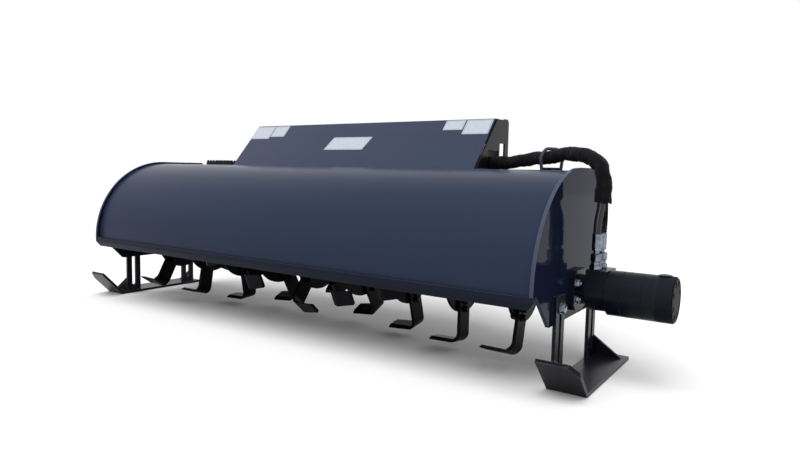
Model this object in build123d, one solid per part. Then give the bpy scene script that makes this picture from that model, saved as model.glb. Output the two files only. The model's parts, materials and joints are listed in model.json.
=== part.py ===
"""Hydraulic rotavator for the quick-attach plate of a compact loader.

A rolled hood between two end plates covers a rotor of bent tines on nine discs, turned by a motor
on the right end plate.  Behind the hood stands the quick-attach frame, closed in front by a sloping
cover, and two hoses run from the motor through a guide ring into it.  Millimetres.

The model is laid out with X along the rotor (motor at +X, X = 0 midway between the end plates),
Y = 0 on the rotor axis (-Y is the working front, +Y the loader), and Z = 0 on the floor.  It is
moved to the middle of its own footprint as it is written out.
"""
import os
from math import atan2, cos, degrees, pi, radians, sin, tan

from build123d import *

# ---------------------------------------------------------------- driving sizes
# rotor
rotor_z = 238.0                # axis above the floor, with the shoes at their lowest
disc_radius = 120.0
disc_thickness = 10.0
disc_pitch = 203.2
discs_per_side = 4             # discs each side of the middle one
tube_outer_radius = 44.5
tube_wall = 8.0
tube_end_gap = 18.0            # between the tube's end disc and the end plate
shaft_radius = 25.0
shaft_running_gap = 0.05       # radial, in the bearing and in the motor's hub

# tines
tine_thickness = 10.0
tine_width = 60.0
tine_bend_radius = 24.0        # inside of the bend
tine_foot_length = 104.0       # from the leg's outer face to the tip, along the rotor
tine_root_radius = 66.0        # rotor axis to the inner end of the leg
tine_leading_offset = 46.0     # the leg's leading edge ahead of its radius
tine_depth = 219.0             # rotor axis to the foot's underside, at the trailing edge
tine_relief = 6.0              # the foot's leading edge is this much nearer to the axis
tine_tip_sweep = 10.0          # the tip's leading corner ahead of the leg's leading edge
tine_tip_width = 53.0
tine_edge_bevel = 14.0         # width of the ground edge on the foot's inner face
tine_edge_left = 4.0           # thickness left at that edge
# each disc's first left-hand tine, degrees ahead of straight down: a V from both ends to the middle
tine_lead_angles = (28.0, 10.0, -10.0, -29.0, -54.0, -31.0, -16.0, 1.0, 15.0)

# hood and end plates
plate_span = 1930.0            # outside to outside of the end plates
plate_thickness = 10.0
plate_front = 312.0            # front edge, from the rotor axis
plate_front_radius = 321.0
plate_rear = 245.0             # rear edge, from the rotor axis
plate_rear_corner = 25.0
plate_toe_length = 22.0        # level edge at the front corner
plate_front_height = 258.0     # front corner above the floor
plate_lowest = 162.0           # bottom edge above the floor
hood_thickness = 6.0
hood_front_inset = 16.0        # the hood's front lies this far behind the end plates'
hood_top_below_plate = 8.0     # and its top this far below theirs
hood_rear_inset = 5.0          # rear wall ahead of the plates' rear edge
hood_rear_bend = 20.0
hood_rear_height = 330.0       # bottom of the rear wall above the floor
rail_height = 60.0             # box beam between the rear wall and the mounting plate
rail_wall = 5.0

# front lip
lip_face = 15.0                # upright band
lip_turn_depth = 19.0          # height of the band that turns under
lip_turn_back = 9.0            # how far it turns back
lip_thickness = 8.0
lip_drop = 0.5                 # below the end plates' front corners
lip_end_overhang = 1.0         # past the end plates' outer faces
lip_corner_cut = 17.0

# quick-attach frame
hitch_width = 1168.0
hitch_offset = 10.0            # centre of the hitch towards the motor
hitch_side_thickness = 6.0
hitch_plate_front = 286.0      # front face of the mounting plate, from the rotor axis
hitch_plate_thickness = 10.0
hitch_rear = 328.0             # rear edge of the side plates
hitch_top = 748.0
hitch_bottom = 288.0
hitch_rail_height = 86.0       # upper rail of the mounting plate
hitch_foot_height = 104.0      # lower rail
hitch_lip_reach = 34.0
hitch_lip_drop = 27.0
hitch_strap_width = 110.0
hitch_strap_spacing = 620.0
latch_slot_spacing = 812.0
latch_slot_length = 64.0
latch_slot_width = 24.0
side_slot_front = 258.0        # tall slot through the side plates, ahead of the mounting plate
side_slot_rear = 299.0
side_slot_top = 662.0
hose_window_front = 168.0      # hose hole through the right side plate
hose_window_rear = 250.0
hose_window_height = 66.0
brace_thickness = 8.0

# sloping cover
cover_foot = 79.0              # foot of the cover behind the rotor axis
cover_head = 230.0             # its upper edge
cover_top_below_hitch = 3.0
cover_thickness = 5.0

# skid shoes
shoe_width = 108.0
shoe_plate = 10.0
shoe_heel = 205.0              # sole's rear end, from the rotor axis
shoe_toe_bend = 196.0          # front end of the flat sole
shoe_toe_rise = 95.0
shoe_toe_length = 91.0         # how far the toe slopes forward
shoe_corner_cut = 28.0
leg_width = 62.0
leg_thickness = 10.0
leg_position = 140.0           # centre of each leg from the rotor axis
leg_height = 240.0
leg_slot_width = 18.0
leg_slot_top_margin = 25.0
depth_travel = 162.0           # how far the shoes move up for full depth
gusset_thickness = 8.0
gusset_height = 60.0

# motor
motor_flange_size = 112.0
motor_flange_thickness = 16.0
motor_hub_radius = 42.0
motor_hub_length = 26.0
port_block_length = 56.0
port_block_width = 92.0
port_block_height = 63.0       # axis to the port face
motor_radius = 62.0
motor_length = 126.0
motor_joints = (38.0, 92.0)    # where the motor's sections meet, from the start of its body
joint_width = 2.4
joint_depth = 1.6
cap_length = 44.0
cap_bolt_circle = 46.0         # radius
cap_bolt_pocket = 8.5          # radius
cap_bolt_pocket_depth = 7.0
cap_bolts = 8
port_spacing = 50.0
port_plug_radius = 19.0

# left bearing
bearing_flange_size = 116.0
bearing_flange_thickness = 14.0
bearing_hub_radius = 44.0
bearing_hub_length = 24.0
bearing_cap_length = 10.0

# hoses
hose_radius = 10.5
hose_gap = 0.6                 # between the two hoses inside the sleeve
sleeve_radius = 22.0
adapter_radius = 13.0
adapter_height = 22.0
nut_across_flats = 28.0
nut_height = 22.0
ferrule_radius = 12.5
ferrule_height = 46.0
coupler_radius = 19.0          # quick coupler: its sliding collar
coupler_length = 72.0
coupler_collar = 28.0
coupler_tip = 12.0             # past the collar
neck_radius = 8.0
neck_height = 8.0

# small pieces on the hood
ring_bar_radius = 5.0
ring_width = 100.0
ring_height = 70.0
ring_x = 838.0
ring_y = 112.0
ring_turn = -25.0              # the ring's plane, turned about the upright
ring_bend_radius = 24.0        # at the bar's middle
rest_bar = (52.0, 24.0, 8.0)   # flat black bar between the ring's feet: long, wide, thick
step_length = 165.0
step_width = 60.0
step_base = 6.0
step_teeth = 9
step_tooth_height = 14.0
step_side_gap = 6.0            # to the cover's edge
step_y = 110.0

mouth_gap = 2.0                # between the sleeve's end and the bare hoses
seat_gap = 0.3                 # clearance under loose and round pieces

# ---------------------------------------------------------------- places worked out from them
plate_x = plate_span / 2
inner_x = plate_x - plate_thickness
arc_y = plate_front_radius - plate_front
plate_top = plate_front_height + plate_front_radius
hood_top = plate_top - hood_top_below_plate
hood_front = plate_front - hood_front_inset
hood_radius = hood_front + arc_y
hood_arc_z = hood_top - hood_radius
hood_rear = plate_rear - hood_rear_inset
hitch_low_x = hitch_offset - hitch_width / 2
hitch_high_x = hitch_offset + hitch_width / 2
cover_top = hitch_top - cover_top_below_hitch
lip_front = plate_front - 1.0
hub_start = plate_x + motor_flange_thickness
block_start = hub_start + motor_hub_length
body_start = block_start + port_block_length
cap_start = body_start + motor_length
motor_end = cap_start + cap_length
port_x = block_start + port_block_length * 0.36
port_face = rotor_z + port_block_height
shoe_outer = plate_x + shoe_width

footprint_centre = ((motor_end - shoe_outer) / 2, (hitch_rear - plate_front) / 2)

nodes = {}


def node(name, *solids):
    """Keep the solids of one named piece, in the order in which they were made."""
    kept = []
    for shape in solids:
        kept += shape.solids()
    nodes[name] = kept


def across_x(outline, x_low, x_high):
    """A flat plate cut to an outline of (y, z) points, from one X to another."""
    face = make_face(Polyline(*[(0, y, z) for y, z in outline], close=True))
    return Pos(x_low, 0, 0) * extrude(face, x_high - x_low, dir=(1, 0, 0))


def block(x, y, z):
    """A box between three pairs of limits."""
    solid = Box(x[1] - x[0], y[1] - y[0], z[1] - z[0])
    return Pos((x[0] + x[1]) / 2, (y[0] + y[1]) / 2, (z[0] + z[1]) / 2) * solid


def rod_x(radius, x_low, x_high, y=0.0, z=None):
    """A round bar along X, on the rotor axis unless told otherwise."""
    height = rotor_z if z is None else z
    return Pos((x_low + x_high) / 2, y, height) * Rot(0, 90, 0) * Cylinder(radius, x_high - x_low)


def rod_z(radius, z_low, z_high, x, y):
    """An upright round bar."""
    return Pos(x, y, (z_low + z_high) / 2) * Cylinder(radius, z_high - z_low)


# ---------------------------------------------------------------- end plates
def end_plate(side):
    """Flat plate: front arc, level top, upright rear edge, cut-back toe."""
    toe_front = -plate_front
    middle = plate_front_radius * cos(radians(45))
    arc = ThreePointArc((0, toe_front, plate_front_height), (0, arc_y - middle, plate_front_height + middle),
                        (0, arc_y, plate_top))
    rest = Polyline(
        (0, arc_y, plate_top),
        (0, plate_rear - plate_rear_corner, plate_top),
        (0, plate_rear, plate_top - plate_rear_corner),
        (0, plate_rear, plate_lowest),
        (0, -shoe_toe_bend, plate_lowest),
        (0, toe_front + plate_toe_length, plate_front_height),
        (0, toe_front, plate_front_height),
    )
    x_low = inner_x if side > 0 else -plate_x
    plate = Pos(x_low, 0, 0) * extrude(make_face([*arc.edges(), *rest.edges()]), plate_thickness, dir=(1, 0, 0))
    plate -= rod_x(shaft_radius + 6.0, x_low - 1, x_low + plate_thickness + 1)
    for leg in (-1, 1):
        x_high = x_low + plate_thickness
        plate -= rod_x(leg_slot_width / 2, x_low - 1, x_high + 1, leg * leg_position, leg_bolt_z)
    return plate


leg_bolt_z = leg_height - leg_slot_top_margin - leg_slot_width / 2
node("end_plate_left", end_plate(-1))
node("end_plate_right", end_plate(1))


# ---------------------------------------------------------------- hood
def hood():
    """One bent sheet: upright front foot, rolled front, level top and rear wall."""
    t = hood_thickness
    y_foot = -hood_front
    foot_z = plate_front_height - lip_face
    bend = hood_rear_bend
    corner = bend * (1 - cos(radians(45)))
    inner_corner = (bend - t) * cos(radians(45))
    middle = hood_radius * cos(radians(45))
    inner_middle = (hood_radius - t) * cos(radians(45))
    outside = [
        *Line((0, y_foot, foot_z), (0, y_foot, hood_arc_z)).edges(),
        *ThreePointArc((0, y_foot, hood_arc_z), (0, arc_y - middle, hood_arc_z + middle),
                       (0, arc_y, hood_top)).edges(),
        *Line((0, arc_y, hood_top), (0, hood_rear - bend, hood_top)).edges(),
        *ThreePointArc((0, hood_rear - bend, hood_top), (0, hood_rear - corner, hood_top - corner),
                       (0, hood_rear, hood_top - bend)).edges(),
        *Line((0, hood_rear, hood_top - bend), (0, hood_rear, hood_rear_height)).edges(),
    ]
    inside = [
        *Line((0, hood_rear, hood_rear_height), (0, hood_rear - t, hood_rear_height)).edges(),
        *Line((0, hood_rear - t, hood_rear_height), (0, hood_rear - t, hood_top - bend)).edges(),
        *ThreePointArc((0, hood_rear - t, hood_top - bend),
                       (0, hood_rear - bend + inner_corner, hood_top - bend + inner_corner),
                       (0, hood_rear - bend, hood_top - t)).edges(),
        *Line((0, hood_rear - bend, hood_top - t), (0, arc_y, hood_top - t)).edges(),
        *ThreePointArc((0, arc_y, hood_top - t), (0, arc_y - inner_middle, hood_arc_z + inner_middle),
                       (0, y_foot + t, hood_arc_z)).edges(),
        *Line((0, y_foot + t, hood_arc_z), (0, y_foot + t, foot_z)).edges(),
        *Line((0, y_foot + t, foot_z), (0, y_foot, foot_z)).edges(),
    ]
    return Pos(-inner_x, 0, 0) * extrude(make_face([*outside, *inside]), 2 * inner_x, dir=(1, 0, 0))


node("hood_shell", hood())


def front_lip():
    """Bent bar along the hood's foot: an upright band, and one that turns under, with cut corners."""
    top = plate_front_height - lip_drop
    bend_z = top - lip_face
    low = bend_z - lip_turn_depth
    front = -lip_front
    back = -hood_front
    t = lip_thickness
    outline = [
        (back, top), (front, top), (front, bend_z), (front + lip_turn_back, low),
        (front + lip_turn_back + t, low + 4.0), (front + t + 1.0, bend_z + 2.0),
        (front + t + 1.0, bend_z + 5.0), (back, bend_z + 5.0),
    ]
    reach = plate_x + lip_end_overhang
    lip = across_x(outline, -reach, reach)
    for end in (-1, 1):
        corner = Polyline((end * reach, front - 5, bend_z), (end * (reach + 5), front - 5, bend_z),
                          (end * (reach + 5), front - 5, low - 5),
                          (end * (reach - lip_corner_cut), front - 5, low - 5),
                          (end * (reach - lip_corner_cut), front - 5, low), close=True)
        lip -= extrude(make_face(corner), 40, dir=(0, 1, 0))
    return lip


node("front_lip", front_lip())


# ---------------------------------------------------------------- quick-attach frame
def hitch_side(x_low, with_window):
    """Side plate: a wedge that closes the end of the cover, and an ear behind the mounting plate."""
    inside = cover_thickness / cos(atan2(cover_head - cover_foot, cover_top - hood_top))
    outline = [
        (cover_foot + inside, hood_top), (cover_head + inside * 0.5, cover_top - inside),
        (cover_head + 10, cover_top), (cover_head + 37, cover_top - 9), (hitch_plate_front, hitch_top - 3),
        (hitch_plate_front + 12, hitch_top),
        (hitch_rear - 14, hitch_top), (hitch_rear - 4, hitch_top - 4), (hitch_rear, hitch_top - 14),
        (hitch_rear, hitch_bottom), (hood_rear, hitch_bottom), (hood_rear, hood_top),
    ]
    x_high = x_low + hitch_side_thickness
    side = across_x(outline, x_low, x_high)
    slot_low = hood_top + 6
    side -= block((x_low - 1, x_high + 1), (side_slot_front, side_slot_rear), (slot_low, side_slot_top))
    if with_window:
        side -= block((x_low - 1, x_high + 1), (hose_window_front, hose_window_rear),
                      (hood_top - 1, hood_top + hose_window_height))
    return side


left_inner = hitch_low_x + hitch_side_thickness
right_inner = hitch_high_x - hitch_side_thickness
node("hitch_side_left", hitch_side(hitch_low_x, False))
node("hitch_side_right", hitch_side(right_inner, True))

plate_y = (hitch_plate_front, hitch_plate_front + hitch_plate_thickness)
rail_low = hitch_top - hitch_rail_height
lip_y = plate_y[1]
lip_top = hitch_top - 4.0


def upper_rail():
    """Upper rail of the mounting plate, with the lip that hooks over the loader's plate."""
    rail = block((left_inner, right_inner), plate_y, (rail_low, lip_top))
    lip = across_x([(lip_y, lip_top), (lip_y + hitch_lip_reach, lip_top - hitch_lip_drop),
                    (lip_y + hitch_lip_reach - 6, lip_top - hitch_lip_drop - 8), (lip_y, lip_top - 13)],
                   left_inner, right_inner)
    return rail + lip


def lower_rail():
    """Lower rail, with the ledge that the loader's latch pins go through."""
    rail = block((left_inner, right_inner), plate_y, (hitch_bottom, hitch_bottom + hitch_foot_height))
    ledge = block((left_inner, right_inner), (plate_y[1], hitch_rear), (hitch_bottom, hitch_bottom + 10))
    for side in (-1, 1):
        slot = SlotOverall(latch_slot_length, latch_slot_width)
        slot_x = hitch_offset + side * latch_slot_spacing / 2
        ledge -= Pos(slot_x, (plate_y[1] + hitch_rear) / 2, hitch_bottom - 1) * extrude(slot, 12)
    return rail + ledge


node("hitch_upper_rail", upper_rail())
node("hitch_lower_rail", lower_rail())
node("hitch_straps", *[
    block((hitch_offset + s * hitch_strap_spacing / 2 - hitch_strap_width / 2,
           hitch_offset + s * hitch_strap_spacing / 2 + hitch_strap_width / 2), plate_y,
          (hitch_bottom + hitch_foot_height, rail_low)) for s in (-1, 1)])


def beam():
    """Box beam that joins the hood's rear wall to the mounting plate's lower rail."""
    low = hitch_bottom + hitch_foot_height - rail_height
    outer = block((left_inner, right_inner), (hood_rear, hitch_plate_front), (low, low + rail_height))
    inner = block((left_inner - 1, right_inner + 1), (hood_rear + rail_wall, hitch_plate_front - rail_wall),
                  (low + rail_wall, low + rail_height - rail_wall))
    return outer - inner


node("hitch_beam", beam())
node("hitch_braces", *[
    across_x([(hood_rear, hitch_bottom + hitch_foot_height),
              (hitch_plate_front, hitch_bottom + hitch_foot_height),
              (hitch_plate_front, hitch_top - hitch_rail_height), (hood_rear, hood_top - hood_rear_bend)],
             hitch_offset + s * hitch_strap_spacing / 2 - brace_thickness / 2,
             hitch_offset + s * hitch_strap_spacing / 2 + brace_thickness / 2) for s in (-1, 1)])


def cover():
    """Sloping cover from the hood's top up to the quick-attach frame, folded level along its head."""
    slope = atan2(cover_head - cover_foot, cover_top - hood_top)
    inside = cover_thickness / cos(slope)
    outline = [
        (cover_foot, hood_top), (cover_head, cover_top), (hitch_plate_front, cover_top),
        (hitch_plate_front, cover_top - cover_thickness),
        (cover_head + inside * 0.5, cover_top - cover_thickness),
        (cover_foot + inside, hood_top),
    ]
    return across_x(outline, left_inner, right_inner)


node("cover_panel", cover())


# ---------------------------------------------------------------- skid shoes
def shoe(side):
    """Bent sole: flat under the end plate, sloping up in front, its outer front corner cut."""
    t = shoe_plate
    slope = atan2(shoe_toe_rise, shoe_toe_length)
    back = t * tan(slope / 2)
    toe = -shoe_toe_bend
    tip = (toe - shoe_toe_length, shoe_toe_rise)
    outline = [
        (shoe_heel, 0), (toe, 0), tip, (tip[0] + t * sin(slope), tip[1] + t * cos(slope)), (toe + back, t),
        (shoe_heel, t),
    ]
    sole = across_x(outline, plate_x, shoe_outer)
    cut = make_face(Polyline((shoe_outer + 1, tip[0] - 1, 0), (shoe_outer + 1, tip[0] + shoe_corner_cut, 0),
                             (shoe_outer - shoe_corner_cut, tip[0] - 1, 0), close=True))
    sole -= Pos(0, 0, shoe_toe_rise / 2) * extrude(cut, shoe_toe_rise)
    return sole if side > 0 else mirror(sole, Plane.YZ)


def shoe_legs(side):
    """Two slotted legs that bolt to the end plate."""
    legs = []
    for place in (-leg_position, leg_position):
        leg = block((plate_x, plate_x + leg_thickness), (place - leg_width / 2, place + leg_width / 2),
                    (shoe_plate, leg_height))
        top = leg_height - leg_slot_top_margin
        slot_length = depth_travel + leg_slot_width
        slot = Pos(plate_x - 1, place, top - slot_length / 2) * Rot(0, 90, 0) * extrude(
            SlotOverall(slot_length, leg_slot_width), leg_thickness + 2)
        leg -= slot
        legs.append(leg if side > 0 else mirror(leg, Plane.YZ))
    return legs


def shoe_gussets(side):
    """Triangles between the legs and the sole."""
    pieces = []
    x = plate_x + leg_thickness
    for place in (-leg_position - leg_width / 2 + gusset_thickness, leg_position + leg_width / 2):
        face = make_face(Polyline((x, place, shoe_plate), (shoe_outer - 12, place, shoe_plate),
                                  (x, place, shoe_plate + gusset_height), close=True))
        piece = extrude(face, gusset_thickness, dir=(0, -1, 0))
        pieces.append(piece if side > 0 else mirror(piece, Plane.YZ))
    return pieces


for side, label in ((-1, "left"), (1, "right")):
    node(f"skid_sole_{label}", shoe(side))
    node(f"skid_legs_{label}", *shoe_legs(side))
    node(f"skid_gussets_{label}", *shoe_gussets(side))


# ---------------------------------------------------------------- motor
def motor_flange():
    flange = Pos(plate_x + motor_flange_thickness / 2, 0, rotor_z) * Box(
        motor_flange_thickness, motor_flange_size, motor_flange_size)
    flange = chamfer(flange.edges().filter_by(Axis.X), 18)
    return flange - rod_x(shaft_radius + 6, plate_x - 1, hub_start + 1)


def port_block():
    low = block((block_start, body_start), (-port_block_width / 2, port_block_width / 2), (rotor_z, port_face))
    return low + rod_x(motor_radius - 8, block_start, body_start)


def motor_body():
    """Round body with a narrow groove at each joint between its sections."""
    body = rod_x(motor_radius, body_start, cap_start)
    for place in motor_joints:
        x = body_start + place
        core = rod_x(motor_radius - joint_depth, x - 1, x + joint_width + 1)
        body -= rod_x(motor_radius + 1, x, x + joint_width) - core
    return body


def motor_cap():
    cap = rod_x(motor_radius, cap_start, motor_end)
    cap = chamfer(cap.edges().sort_by(Axis.X)[-1], 4)
    for k in range(cap_bolts):
        turn = 2 * pi * (k + 0.5) / cap_bolts
        cap -= rod_x(cap_bolt_pocket, motor_end - cap_bolt_pocket_depth, motor_end + 1,
                     cap_bolt_circle * cos(turn), rotor_z + cap_bolt_circle * sin(turn))
    return cap


node("motor_flange", motor_flange())
node("motor_hub", rod_x(motor_hub_radius, hub_start, block_start)
     - rod_x(shaft_radius + shaft_running_gap, hub_start - 1, hub_start + 16))
node("motor_port_block", port_block())
node("motor_body", motor_body())
node("motor_end_cap", motor_cap())
node("motor_port_plug", rod_z(port_plug_radius, rotor_z + motor_radius - 4, rotor_z + motor_radius + 1,
                              cap_start + 14, 0) - rod_x(motor_radius, body_start, motor_end))

# ---------------------------------------------------------------- left bearing
bearing_face = -(plate_x + bearing_flange_thickness)
bearing_end = bearing_face - bearing_hub_length
flange = Pos(-(plate_x + bearing_flange_thickness / 2), 0, rotor_z) * Box(
    bearing_flange_thickness, bearing_flange_size, bearing_flange_size)
flange = chamfer(flange.edges().filter_by(Axis.X), 20)
node("bearing_housing", (flange + rod_x(bearing_hub_radius, bearing_end, bearing_face))
     - rod_x(shaft_radius + shaft_running_gap, bearing_end - 1, -plate_x + 1))
node("bearing_cap", rod_x(bearing_hub_radius - 8, bearing_end - bearing_cap_length, bearing_end))

# ---------------------------------------------------------------- rotor
tube_end = inner_x - tube_end_gap
node("rotor_tube", rod_x(tube_outer_radius, -tube_end, tube_end)
     - rod_x(tube_outer_radius - tube_wall, -tube_end + tube_wall, tube_end - tube_wall))
node("rotor_shaft_left", rod_x(shaft_radius, bearing_end + 1, -tube_end))
node("rotor_shaft_right", rod_x(shaft_radius, tube_end, hub_start + 14))

disc_places = [k * disc_pitch for k in range(-discs_per_side, discs_per_side + 1)]


def disc(x):
    plate = rod_x(disc_radius, x - disc_thickness / 2, x + disc_thickness / 2)
    return plate - rod_x(tube_outer_radius, x - disc_thickness, x + disc_thickness)


node("rotor_discs", *[disc(x) for x in disc_places])


def tine_profile(y, foot_z):
    """The bent strip cut across at one y: leg down, bend, foot along +X with its underside at foot_z."""
    t = tine_thickness
    r_in = tine_bend_radius
    r_out = r_in + t
    bend_z = foot_z + r_out
    outer = r_out * (1 - cos(radians(45)))
    inner = t + r_in * (1 - cos(radians(45)))
    tip_x = tine_foot_length
    root = -tine_root_radius
    edges = [
        *Line((0, y, root), (0, y, bend_z)).edges(),
        *ThreePointArc((0, y, bend_z), (outer, y, foot_z + outer), (r_out, y, foot_z)).edges(),
        *Line((r_out, y, foot_z), (tip_x, y, foot_z)).edges(),
        *Line((tip_x, y, foot_z), (tip_x, y, foot_z + t)).edges(),
        *Line((tip_x, y, foot_z + t), (r_out, y, foot_z + t)).edges(),
        *ThreePointArc((r_out, y, foot_z + t), (inner, y, foot_z + inner), (t, y, bend_z)).edges(),
        *Line((t, y, bend_z), (t, y, root)).edges(),
        *Line((t, y, root), (0, y, root)).edges(),
    ]
    return make_face(edges)


def tine():
    """Right-hand tine hanging straight down, leading edge towards -Y: a flat leg, a bend and a foot.

    The strip is lofted from its trailing to its leading side, the foot rising by the relief.  The foot is
    swept a little forward and narrows to its tip, and its leading edge is ground on the inner face."""
    t = tine_thickness
    lead_y = -tine_leading_offset
    trail_y = lead_y + tine_width
    widest = lead_y - tine_tip_sweep
    rise = tine_relief * (trail_y - widest) / tine_width
    strip = loft([tine_profile(trail_y, -tine_depth), tine_profile(widest, -tine_depth + rise)], ruled=True)
    bend_end = tine_bend_radius + t
    past = tine_foot_length + 1
    plan = make_face(Polyline((-1, lead_y, 0), (bend_end, lead_y, 0), (past, widest, 0),
                              (past, widest + tine_tip_width, 0), (bend_end, trail_y, 0),
                              (-1, trail_y, 0), close=True))
    blade = strip & (Pos(0, 0, -tine_depth - 1) * extrude(plan, tine_depth))
    edge_turn = atan2(tine_tip_sweep, tine_foot_length - bend_end)
    grind_angle = atan2(t - tine_edge_left, tine_edge_bevel)
    edge_z = -tine_depth + tine_relief + tine_edge_left
    grind = Pos(bend_end, lead_y, edge_z) * Rot(0, 0, -degrees(edge_turn)) * Rot(degrees(grind_angle), 0, 0)
    grind = grind * Pos(tine_foot_length / 2, 0, t) * Box(tine_foot_length * 1.2, 4 * tine_edge_bevel, 2 * t)
    return blade - grind


right_tine = tine()
left_tine = Pos(tine_thickness, 0, 0) * mirror(right_tine, Plane.YZ)
right_hand = []
left_hand = []
for x, lead in zip(disc_places, tine_lead_angles):
    on_disc = Pos(x + disc_thickness / 2, 0, rotor_z)
    for half_turn in (0, 180):
        left_hand.append(on_disc * Rot(-(lead + half_turn), 0, 0) * left_tine)
        right_hand.append(on_disc * Rot(-(lead + 90 + half_turn), 0, 0) * right_tine)
node("tines_left_hand", *left_hand)
node("tines_right_hand", *right_hand)

# ---------------------------------------------------------------- hose fittings on the motor
port_places = [(port_x, -port_spacing / 2), (port_x, port_spacing / 2)]
adapter_top = port_face + adapter_height
nut_top = adapter_top + nut_height
neck_top = nut_top + neck_height
ferrule_top = neck_top + ferrule_height
node("port_adapters", *[rod_z(adapter_radius, port_face, adapter_top, x, y) for x, y in port_places])
node("hose_nuts", *[Pos(x, y, adapter_top) * extrude(RegularPolygon(nut_across_flats / 2, 6, major_radius=False),
                                                     nut_height) for x, y in port_places])
node("hose_necks", *[rod_z(neck_radius, nut_top, neck_top, x, y) for x, y in port_places])
node("hose_ferrules", *[rod_z(ferrule_radius, neck_top, ferrule_top, x, y) for x, y in port_places])


# ---------------------------------------------------------------- hoses
def tube_along(points, radius, label):
    """A round tube of straight runs joined by the largest tangent arcs that the runs allow."""
    vectors = [Vector(*p) for p in points]
    runs = [(b - a) for a, b in zip(vectors, vectors[1:])]
    radii = []
    for before, after in zip(runs, runs[1:]):
        turn = radians(before.get_angle(after))
        radii.append(0.45 * min(before.length, after.length) / tan(turn / 2))
    print(label, "bend radii", [round(r) for r in radii])
    path = FilletPolyline(*points, radius=radii)
    start = Plane(origin=points[0], z_dir=runs[0])
    solid = sweep(start * Circle(radius), path=path)
    expected = pi * radius ** 2 * path.length
    print(label, "length", round(path.length), "volume ratio", round(solid.volume / expected, 4))
    return solid


on_hood = hood_top + sleeve_radius + seat_gap
sleeve_start = (port_x + 6, -8, 506)
sleeve_route = [
    sleeve_start,
    (port_x + 6, -8, 546),
    (port_x - 6, -1, 584),
    (port_x - 42, 22, 608),
    (port_x - 88, 51, 617),
    (port_x - 142, 85, 615),
    (ring_x - 2, ring_y + 2, 605),
    (ring_x - 62, ring_y + 36, on_hood + 8),
    (ring_x - 124, ring_y + 65, on_hood + 1),
    (ring_x - 190, ring_y + 88, on_hood),
    (ring_x - 260, ring_y + 102, on_hood + 0.2),
    (ring_x - 350, ring_y + 92, on_hood),
    (ring_x - 460, ring_y + 68, on_hood + 0.2),
    (ring_x - 590, ring_y + 76, on_hood),
    (ring_x - 700, ring_y + 66, on_hood + 0.2),
    (ring_x - 780, ring_y + 70, on_hood),
]
node("hose_sleeve", tube_along(sleeve_route, sleeve_radius, "sleeve"))
for label, (x, y) in zip(("front", "rear"), port_places):
    inward = hose_radius + hose_gap / 2
    end_y = sleeve_start[1] + (-inward if y < 0 else inward)
    route = [
        (x, y, ferrule_top),
        (x, y, ferrule_top + 30),
        (x + 4, (y + end_y) / 2, ferrule_top + 64),
        (sleeve_start[0], end_y, ferrule_top + 88),
        (sleeve_start[0], end_y, sleeve_start[2] - seat_gap),
    ]
    node(f"hose_{label}", tube_along(route, hose_radius, f"hose {label}"))


# ---------------------------------------------------------------- hose ends behind the cover
sleeve_end = sleeve_route[-1]
tail_z = hood_top + hose_radius + seat_gap
coupler_z = hood_top + coupler_radius + seat_gap
tail_x = sleeve_end[0] - mouth_gap
# label, side of the sleeve, how far the coupler lies to that side, hose's end from the left side plate
tails = [("front", -1, 42.0, 274.0), ("rear", 1, 20.0, 209.0)]
coupler_ferrules = []
couplers = []
for label, side, spread, from_side in tails:
    end_x = hitch_low_x + from_side
    start_y = sleeve_end[1] + side * (hose_radius + hose_gap / 2)
    end_y = sleeve_end[1] + side * spread
    reach = tail_x - end_x
    tail_route = [
        (tail_x, start_y, sleeve_end[2]),
        (tail_x - reach * 0.16, start_y + side, sleeve_end[2] - 2),
        (tail_x - reach * 0.35, (start_y + end_y) / 2, tail_z + 0.5),
        (tail_x - reach * 0.58, end_y + side * 3, tail_z),
        (tail_x - reach * 0.78, end_y + side * 2, tail_z + 1.5),
        (tail_x - reach * 0.91, end_y, coupler_z),
        (end_x, end_y, coupler_z),
    ]
    node(f"hose_tail_{label}", tube_along(tail_route, hose_radius, f"tail {label}"))
    ferrule_end = end_x - ferrule_height
    coupler_ferrules.append(rod_x(ferrule_radius, ferrule_end, end_x, end_y, coupler_z))
    coupler = rod_x(coupler_radius - 3, ferrule_end - coupler_length, ferrule_end, end_y, coupler_z)
    collar_end = ferrule_end - coupler_length + coupler_tip
    couplers.append(coupler + rod_x(coupler_radius, collar_end, collar_end + coupler_collar, end_y, coupler_z))
node("coupler_ferrules", *coupler_ferrules)
node("hose_couplers", *couplers)


# ---------------------------------------------------------------- small pieces on the hood
def ring():
    """Bent round bar with both feet on the hood: legs that bulge out, and a flat arch."""
    half = ring_width / 2 - ring_bar_radius
    top = ring_height - ring_bar_radius
    route = [(0, -half * 0.85, -ring_bar_radius * 2), (0, -half, top * 0.55), (0, -half * 0.6, top),
             (0, half * 0.6, top), (0, half, top * 0.55), (0, half * 0.85, -ring_bar_radius * 2)]
    path = FilletPolyline(*route, radius=ring_bend_radius)
    start = Plane(origin=route[0], z_dir=Vector(*route[1]) - Vector(*route[0]))
    bar = sweep(start * Circle(ring_bar_radius), path=path)
    bar -= Pos(0, 0, -ring_height / 2) * Box(ring_width, ring_width * 2, ring_height)
    return Pos(ring_x, ring_y, hood_top) * Rot(0, 0, ring_turn) * bar


node("hose_ring", ring())
long, wide, thick = rest_bar
rest = Rot(0, 0, ring_turn + 90) * Box(long, wide, thick)
node("hose_rest", Pos(ring_x, ring_y, hood_top + thick / 2) * rest)


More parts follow.
